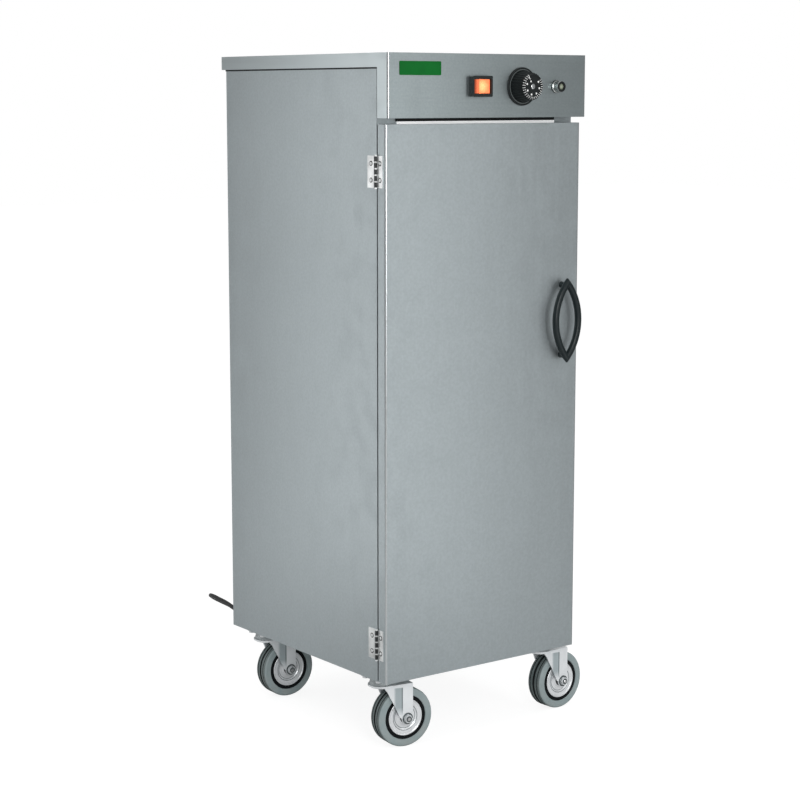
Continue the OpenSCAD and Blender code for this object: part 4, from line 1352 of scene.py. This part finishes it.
@dataclass
class Controls:
    """The knob's dial and cap, the rocker's glow, the pilot lamp's rings, with painted reflections
    and shade on its sleeve, and a painted highlight on the bezel.
    """

    finishes: Finishes
    recess: float = 0.0008
    mark_lift: float = 0.00015
    rim_lift: float = 0.00001
    chamfer_lean: float = 0.08
    mark_width: float = 0.0009
    mark_path: Profile = ((0.0163, 0.0), (0.0179, 0.0), (0.018, 0.0008), (0.0193, 0.0008),
                          (0.0206, -0.002))
    pointer_path: Profile = ((0.0128, 0.0), (0.0179, 0.0), (0.018, 0.0008), (0.0193, 0.0008),
                             (0.0203, -0.0014))
    pointer_angle: float = 120.0
    pointer_wider: float = 1.4
    pointer_dot_ring: float = 0.0092
    pointer_dot_radius: float = 0.0014
    dot_ring: float = 0.0131
    dot_radius: float = 0.0016
    first_dot: float = 163.0
    dot_step: float = 46.2
    dots: int = 6
    marks_before: int = 3
    marks_per_dot: int = 4
    cap_radius: float = 0.0042
    pilot_lip: Profile = (
        (0.0052, -0.0008), (0.0052, 0.0007), (0.0060, 0.0011), (0.0078, 0.0009),
        (0.0084, 0.0002), (0.0084, -0.0012), (0.0081, -0.0016), (0.0061, -0.0016))
    # Black rings on the sleeve: painted dark reflections of the chrome, and shade at its foot.
    sleeve_rings: Sequence[tuple[float, float, float, float]] = (
        (0.0086, 0.00893, 0.0042, 0.0054), (0.0086, 0.00893, 0.0088, 0.0096),
        (0.0099, 0.0104, 0.0, 0.0009))
    # The ring on the bezel is a painted highlight on its rounded edge.
    bezel_line: Profile = ((0.0263, -0.0004), (0.0263, 0.0002), (0.0267, 0.0004),
                           (0.0273, 0.0002), (0.0275, -0.0004))

    def face(self) -> Matrix:
        """Gives the matrix of the knob's recessed face, with local Z towards the front."""
        middle = front_of("thermostat_knob", self.recess)
        return Matrix.Translation(middle) @ Matrix.Rotation(math.radians(90), 4, "X")

    def stroke(self, shape: Shape, angle: float, path: Profile, width: float) -> None:
        """Paints one stroke that runs out over the face, the rim and its chamfer.

        Args:
            shape: The mesh that it goes into.
            angle: Its direction in degrees, from local X.
            path: Radius and height of its points above the recessed face.
            width: Its width.
        """
        turned = self.face() @ Matrix.Rotation(math.radians(angle), 4, "Z")
        highest = max(z for _, z in path)
        rows = []
        for x, z in path:
            out = x + max(0.0, -z) * self.chamfer_lean
            up = z + (self.rim_lift if z == highest else self.mark_lift)
            rows.append([shape.verts.new(turned @ Vector((out, side, up)))
                         for side in (-width / 2, width / 2)])
        for near, far in zip(rows, rows[1:]):
            shape.faces.new([near[0], far[0], far[1], near[1]])

    def dot(self, shape: Shape, angle: float, ring: float, radius: float) -> None:
        """Paints one round dot on the face.

        Args:
            shape: The mesh that it goes into.
            angle: Its direction in degrees, from local X.
            ring: Its distance from the middle.
            radius: Its radius.
        """
        turn = Matrix.Rotation(math.radians(angle), 4, "Z")
        spot = self.face() @ turn @ Matrix.Translation((ring, 0, 0))
        lift = self.mark_lift
        lathe(shape, [(0.0, -lift), (radius, -lift), (radius, lift), (0.0, lift)], spot, 20)

    def dial(self) -> None:
        """Makes the white strokes and dots of the dial, and the pointer."""
        shape = bmesh.new()
        step = self.dot_step / self.marks_per_dot
        for k in range(-self.marks_before, (self.dots - 1) * self.marks_per_dot + 1):
            self.stroke(shape, self.first_dot + k * step, self.mark_path, self.mark_width)
        for k in range(self.dots):
            self.dot(shape, self.first_dot + k * self.dot_step, self.dot_ring, self.dot_radius)
        self.stroke(shape, self.pointer_angle, self.pointer_path,
                    self.mark_width * self.pointer_wider)
        self.dot(shape, self.pointer_angle, self.pointer_dot_ring, self.pointer_dot_radius)
        marks = self.finishes.piece("dial_marks", shape, "white_print")
        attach(marks, "knob")

    def cap(self) -> None:
        """Makes the silver cap in the knob's middle."""
        shape = bmesh.new()
        radius = self.cap_radius
        profile = [(0.0, 0.0007), (radius * 0.6, 0.00062), (radius * 0.88, 0.0004), (radius, 0.0),
                   (radius, -0.0002), (0.0, -0.0002)]
        lathe(shape, profile, self.face(), 32)
        cap = self.finishes.piece("knob_cap", shape, "chrome", 50.0)
        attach(cap, "knob")

    def rocker(self) -> None:
        """Lights the rocker from a lamp right of its middle."""
        low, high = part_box("rocker_button")
        half = ((high.x - low.x) / 2, (high.z - low.z) / 2)
        lamp = front_of("rocker_button") + Vector((0.001, 0.0, 0.0))
        self.finishes.add("orange_lens", LitLens(
            "Lit rocker", tuple(lamp), half, reach=0.0125, rim_color=(0.88, 0.20, 0.07),
            lamp_color=(1.0, 0.74, 0.30), dim_color=(0.30, 0.05, 0.025), strength=0.75))
        self.finishes.dress(bpy.data.objects["rocker_button"], "orange_lens")

    def pilot(self) -> None:
        """Gives the pilot lamp its lens and the black rings of its sleeve, which are painted dark
        reflections and shade.
        """
        middle = front_of("pilot_lens")
        self.finishes.add("green_lens", LampGlass("Pilot lens", tuple(middle), 0.006))
        self.finishes.dress(bpy.data.objects["pilot_lens"], "green_lens")
        tip_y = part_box("pilot_sleeve")[0].y
        spot = facing(Vector((middle.x, tip_y, middle.z)), FRONT)
        shape = bmesh.new()
        lathe(shape, self.pilot_lip, spot, 40, closed=True)
        to_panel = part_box("top_hood")[0].y - tip_y
        for inner, outer, near, far in self.sleeve_rings:
            front, back = far - to_panel, near - to_panel
            lathe(shape, [(inner, back), (outer, back), (outer, front), (inner, front)], spot, 40,
                  closed=True)
        ring = self.finishes.piece("pilot_rings", shape, "black_plastic", 50.0)
        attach(ring, "cabinet")

    def bezel(self) -> None:
        """Makes the pale ring round the knob on the bezel's face, a painted highlight on its
        rounded edge.
        """
        shape = bmesh.new()
        lathe(shape, self.bezel_line, facing(front_of("knob_bezel"), FRONT), 64, closed=True)
        line = self.finishes.piece("bezel_line", shape, "satin_grey", 50.0)
        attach(line, "cabinet")

    def build(self) -> None:
        """Makes every part of the controls."""
        self.dial()
        self.cap()
        self.rocker()
        self.pilot()
        self.bezel()
        LOG.info("controls: dial, cap, rocker glow, pilot lip and reflection rings, bezel highlight")


@dataclass
class ScrewHead:
    """A domed screw head with a cross recess."""

    radius: float = 0.0027
    height: float = 0.0011
    recess: float = 0.0006

    def add(self, shape: Shape, place_at: Matrix) -> None:
        """Adds the head to a mesh.

        Args:
            shape: The mesh.
            place_at: Where it stands, with local Z out of the surface.
        """
        r, h = self.radius, self.height
        lathe(shape, [(0.0, -0.0001), (r, -0.0001), (r, h * 0.25), (r * 0.9, h * 0.62),
                      (r * 0.68, h * 0.9), (r * 0.34, h), (r * 0.3, h - self.recess),
                      (0.0, h - self.recess)], place_at, 20)
        long, half = r * 0.62, r * 0.1
        for turn in (0.0, 90.0):
            arm = place_at @ Matrix.Rotation(math.radians(turn), 4, "Z")
            plate(shape, [(-long, -half), (long, -half), (long, half), (-long, half)], arm,
                  h * 0.7, h * 0.97)


@dataclass
class Fastenings:
    """Screws of the hinges and of the rear panel."""

    finishes: Finishes
    head: ScrewHead = field(default_factory=ScrewHead)
    shadow_ring_radius: float = 0.0040
    edge_share: float = 0.24
    across_leaf: float = 0.6
    leaf_t: float = 0.0015
    rear_rows: int = 5
    rear_side: float = 0.009
    rear_foot: float = 0.045
    rear_head: float = 0.070

    def leaf_screws(self, leaf_name: str, outer_y: float, body: str) -> None:
        """Makes the two screws of one leaf and the dark rings round them, a painted shadow.

        Args:
            leaf_name: The leaf's node.
            outer_y: Where the leaf ends, away from the pin.
            body: The body that carries the leaf.
        """
        low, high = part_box(leaf_name)
        pin_y = middle_of("hinge_pins").y
        leaf_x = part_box("side_panel_left")[0].x - self.leaf_t
        r = self.head.radius
        heads, shadow_rings = bmesh.new(), bmesh.new()
        for share in (self.edge_share, 1 - self.edge_share):
            spot = facing(Vector((leaf_x, pin_y + (outer_y - pin_y) * self.across_leaf,
                                  low.z + (high.z - low.z) * share)), Vector((-1, 0, 0)))
            self.head.add(heads, spot)
            # A near-black ring round each head: a painted shadow.
            lathe(shadow_rings, [(r, -0.0001), (self.shadow_ring_radius, -0.0001), (self.shadow_ring_radius, 0.0001), (r, 0.0003)],
                  spot, 24, closed=True)
        start = leaf_name.removesuffix("leaf")
        for kind, shape, finish in (("screws", heads, "hinge_steel"),
                                    ("shadow_rings", shadow_rings, "screw_shadow")):
            piece = self.finishes.piece(f"{start}{kind}", shape, finish, 40.0)
            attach(piece, body)

    def hinge_screws(self) -> None:
        """Makes the screws of both hinges."""
        for hinge in ("lower_hinge", "upper_hinge"):
            frame_leaf, door_leaf = f"{hinge}_frame_leaf", f"{hinge}_door_leaf"
            self.leaf_screws(frame_leaf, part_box(frame_leaf)[1].y, "cabinet")
            self.leaf_screws(door_leaf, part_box(door_leaf)[0].y, "door")

    def rear_screws(self) -> None:
        """Makes the screws along both edges of the rear panel."""
        low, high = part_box("rear_panel")
        shape = bmesh.new()
        foot, head = low.z + self.rear_foot, high.z - self.rear_head
        for x in (low.x + self.rear_side, high.x - self.rear_side):
            for row in range(self.rear_rows):
                z = foot + (head - foot) * row / (self.rear_rows - 1)
                self.head.add(shape, facing(Vector((x, high.y, z)), Vector((0, 1, 0))))
        screws = self.finishes.piece("rear_panel_screws", shape, "zinc", 40.0)
        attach(screws, "cabinet")

    def build(self) -> None:
        """Makes all the screws."""
        self.hinge_screws()
        self.rear_screws()
        LOG.info("fastenings: hinge screws, rear panel screws")


@dataclass
class CasterPart:
    """What turns round the axle of a caster, the joint wheel_spin of its corner."""

    finishes: Finishes
    corner: str
    joint: dict[str, object]

    def axle(self) -> tuple[Vector, Vector]:
        """Gives the axle's middle and its direction."""
        return Vector(self.joint["pos_m"]), Vector(self.joint["axis"])

    def from_axle(self, point: Vector) -> tuple[float, float]:
        """Measures where a point lies from the axle.

        Args:
            point: The point.

        Returns:
            Its distance along the axle from the middle, and out from the axle.
        """
        middle, axis = self.axle()
        aside = (point - middle).dot(axis)
        return abs(aside), (point - middle - axis * aside).length


@dataclass
class Wheel(CasterPart):
    """What a caster's wheel shows: the grooved tyre and the pressed zinc discs."""

    radius: float = 0.050
    half_width: float = 0.015
    core_radius: float = 0.037
    shoulder: float = 0.004
    shoulder_steps: int = 7
    groove_depth: float = 0.0016
    groove_slope: float = 0.0004
    grooves: Profile = ((0.0082, 0.0009), (0.0, 0.0024), (-0.0082, 0.0009))
    disc_section: Profile = (
        (0.0096, 0.0139), (0.0112, 0.0136), (0.0128, 0.0124), (0.0150, 0.0119), (0.0182, 0.0117),
        (0.0188, 0.0113), (0.0194, 0.0117), (0.0206, 0.0122), (0.0217, 0.0128), (0.0223, 0.0124),
        (0.0229, 0.0131), (0.0258, 0.0134), (0.0280, 0.0135), (0.0290, 0.0144), (0.0300, 0.0147),
        (0.0308, 0.0141))
    disc_rings: Profile = ((0.0182, 0.0194), (0.0217, 0.0229))
    disc_t: float = 0.0004
    segments: int = 96

    def tyre_profile(self) -> Profile:
        """Works out the tyre's section: bead, side, shoulders and the grooved tread.

        Returns:
            Its points, closed round the section.
        """
        r, w, s, d = self.radius, self.half_width, self.shoulder, self.groove_depth
        side = [(self.core_radius, w - 0.0012), (self.core_radius + 0.0008, w), (r - s - 0.001, w)]
        for step in range(1, self.shoulder_steps):
            angle = math.radians(90 - 90 * step / self.shoulder_steps)
            side.append((r - s + s * math.cos(angle), w - s + s * math.sin(angle)))
        tread = [(r, w - s)]
        for middle, half in self.grooves:
            foot = half - self.groove_slope
            tread += [(r, middle + half), (r - d, middle + foot),
                      (r - d, middle - foot), (r, middle - half)]
        return side + tread + [(a, -b) for a, b in reversed(side)]

    def tyre(self) -> None:
        """Makes the grooved tyre in place of the plain solid."""
        shape = bmesh.new()
        lathe(shape, self.tyre_profile(), facing(*self.axle()), self.segments, closed=True)
        tyre = self.finishes.piece(f"tyre_{self.corner}", shape, "grey_tyre", 40.0)
        # The tread takes a darker rubber and its grooves a near-black: a painted shade.
        for finish in ("shaded_tread", "groove_shade"):
            tyre.data.materials.append(self.finishes.by_name[finish])
        edge, tread_from = self.half_width - self.shoulder, self.radius - self.shoulder
        for face in tyre.data.polygons:
            aside, outward = self.from_axle(face.center)
            on_tread = aside < self.half_width - self.shoulder * 0.35 and outward > tread_from
            in_groove = on_tread and aside < edge and outward < self.radius - 0.0004
            face.material_index = 2 if in_groove else int(on_tread)
        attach(tyre, f"wheel_{self.corner}")
        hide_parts(f"wheel_tyre_{self.corner}")

    def disc(self, side: DiscSide) -> None:
        """Makes the pressed zinc disc of one side, with its steps and two dark rings in them, a
        painted shade.

        Args:
            side: The side that it closes.
        """
        middle, axis = self.axle()
        shape = bmesh.new()
        lathe(shape, self.disc_section, facing(middle, axis * side.value), self.segments)
        name = f"wheel_disc_{self.corner}_{side.name.lower()}"
        disc = self.finishes.piece(name, shape, "zinc", 28.0)
        sheet = disc.modifiers.new("Sheet", "SOLIDIFY")
        sheet.thickness = self.disc_t
        sheet.offset = 0.0
        # Two of the steps take a darker zinc: a painted shade.
        disc.data.materials.append(self.finishes.by_name["ring_zinc"])
        for face in disc.data.polygons:
            _, outward = self.from_axle(face.center)
            face.material_index = int(any(a < outward < b for a, b in self.disc_rings))
        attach(disc, f"wheel_{self.corner}")

    def build(self) -> None:
        """Makes the wheel's pieces."""
        self.tyre()
        for side in DiscSide:
            self.disc(side)
        LOG.info("wheel %s: tyre and discs", self.corner)


@dataclass
class Fork(CasterPart):
    """A caster fork's creases in painted shade, and the washers and threads at its axle's ends.

    The profiles start at the face of a leg, of the bolt's head and of its nut.
    """

    leg_face: float = 0.022
    head_face: float = 0.027
    washer: Profile = ((0.0072, -0.0002), (0.0096, -0.0002), (0.0096, 0.0007), (0.0072, 0.0010))
    collar: Profile = ((0.0030, -0.0002), (0.0052, -0.0002), (0.0050, 0.0006), (0.0030, 0.0006))
    thread: Profile = ((0.0, -0.0002), (0.0029, -0.0002), (0.0029, 0.0010), (0.0023, 0.0016),
                       (0.0, 0.0016))

    def build(self) -> None:
        """Dresses the fork and makes the pieces on both ends of its axle."""
        middle, axis = self.axle()
        finish, along = f"fork_zinc_{self.corner}", (axis.y, -axis.x, 0.0)
        self.finishes.add(finish, ForkZinc(f"Fork zinc {self.corner}", tuple(middle), along))
        self.finishes.dress(bpy.data.objects[f"caster_fork_{self.corner}"], finish)
        washers, threads = bmesh.new(), bmesh.new()
        for way in (axis, -axis):
            for shape, profile, face, segments in (
                    (washers, self.washer, self.leg_face, 40),
                    (washers, self.collar, self.head_face, 32),
                    (threads, self.thread, self.head_face, 24)):
                lathe(shape, profile, facing(middle + way * face, way), segments,
                      closed=shape is washers)
        for kind, shape, dress in (("washers", washers, "dark_zinc"),
                                   ("threads", threads, "bright_wire")):
            piece = self.finishes.piece(f"axle_{kind}_{self.corner}", shape, dress, 40.0)
            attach(piece, f"caster_{self.corner}")
        LOG.info("fork %s: creases, washers, threads", self.corner)


@dataclass
class Studio:
    """The pale floor, the white surroundings and the soft lamps."""

    floor_size: float = 30.0
    floor_color: Color = (0.62, 0.62, 0.62)
    floor_seen: Color = (0.22, 0.22, 0.22)
    floor_lift: float = 0.88
    ambient: float = 0.6
    mirrored: float = 0.4

    def floor(self) -> None:
        """Makes the floor, which keeps the cabinet's shadow and is white around it."""
        shape = bmesh.new()
        bmesh.ops.create_grid(shape, x_segments=1, y_segments=1, size=self.floor_size / 2)
        floor = from_bmesh("floor", shape, None)
        material = bpy.data.materials.new("Pale floor")
        material.use_nodes = True
        tree = Tree(material.node_tree)
        material.node_tree.nodes.clear()
        patches = tree.noise(tree.spot(), 3.0)
        shade = tree.blend(tree.ramp(patches, 0.3, 0.7), self.floor_color,
                           scaled(self.floor_color, 0.985))
        seen = tree.add("LightPath").outputs["Is Camera Ray"]
        matt = tree.add("BsdfDiffuse", in_Color=tree.blend(seen, shade, self.floor_seen))
        glow = tree.add("Emission", in_Color=WHITE, in_Strength=tree.times(seen, self.floor_lift))
        both = tree.add("AddShader")
        tree.feed(both, 0, matt.outputs[0])
        tree.feed(both, 1, glow.outputs[0])
        tree.add("OutputMaterial", in_Surface=both.outputs[0])
        floor.data.materials.append(material)

    def world(self) -> None:
        """Makes white surroundings that light the object at a plain level."""
        world = bpy.data.worlds.new("Studio")
        bpy.context.scene.world = world
        world.use_nodes = True
        tree = Tree(world.node_tree)
        world.node_tree.nodes.clear()
        path = tree.add("LightPath")
        around = tree.ramp(path.outputs["Is Glossy Ray"], 0.0, 1.0, (self.ambient, self.mirrored))
        seen = tree.math("MAXIMUM", path.outputs["Is Camera Ray"],
                         path.outputs["Is Transmission Ray"])
        strength = tree.math("MAXIMUM", around, seen)
        background = tree.add("Background", in_Color=WHITE, in_Strength=strength)
        tree.add("OutputWorld", in_Surface=background.outputs[0])

    def lamp(self, name: str, at: Point, towards: Point, size: tuple[float, float],
             power: float) -> None:
        """Makes a soft rectangular lamp.

        Args:
            name: The lamp's name.
            at: Where it is.
            towards: The point that it faces.
            size: Its width and height.
            power: Its power in watts.
        """
        data = bpy.data.lights.new(name, "AREA")
        data.shape = "RECTANGLE"
        data.size, data.size_y = size
        data.energy = power
        lamp = link(name, data)
        lamp.location = at
        lamp.rotation_euler = (Vector(towards) - Vector(at)).to_track_quat("-Z", "Y").to_euler()
        lamp.visible_camera = False

    def build(self) -> None:
        """Makes the floor, the world and the lamps."""
        self.floor()
        self.world()
        self.lamp("key", (-1.2, -2.6, 1.4), (-0.1, -0.1, 0.7), (0.5, 1.8), 34.0)
        self.lamp("door_strip", (0.30, -1.0, 0.66), (-0.2, -0.2, 0.6), (0.22, 1.28), 1.5)
        self.lamp("side_strip", (-0.82, 0.52, 0.64), (-0.22, -0.2, 0.58), (0.2, 1.22), 1.5)
        self.lamp("overhead", (0.0, -0.3, 3.2), (0.0, 0.0, 0.5), (2.2, 2.2), 22.0)
        bpy.context.scene.view_settings.view_transform = "Standard"
        LOG.info("studio: floor, surroundings, four lamps")


def main() -> None:
    """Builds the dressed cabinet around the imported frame."""
    logging.basicConfig(level=logging.INFO, format="%(message)s")
    for leftover in list(bpy.data.objects):
        bpy.data.objects.remove(leftover)
    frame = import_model()
    joints = {joint["name"]: joint for joint in frame["joints"]}
    finishes = Finishes()
    CameraStand().build()
    MainsLead(finishes).build()
    slots = {part["node"]: part["material_slot"] for part in frame["record"]["subparts"]}
    Controls(finishes).build()
    SheetBody(finishes, frame["nodes"], slots).build()
    BlankBadge(finishes).build()
    HoodShadowStrip(finishes).build()
    PanelShadowAndGlowStrips(finishes).build()
    Fastenings(finishes).build()
    for corner in CORNERS:
        Wheel(finishes, corner, joints[f"wheel_spin_{corner}"]).build()
        Fork(finishes, corner, joints[f"wheel_spin_{corner}"]).build()
    Studio().build()
    bpy.context.view_layer.update()


if __name__ == "__main__":
    main()
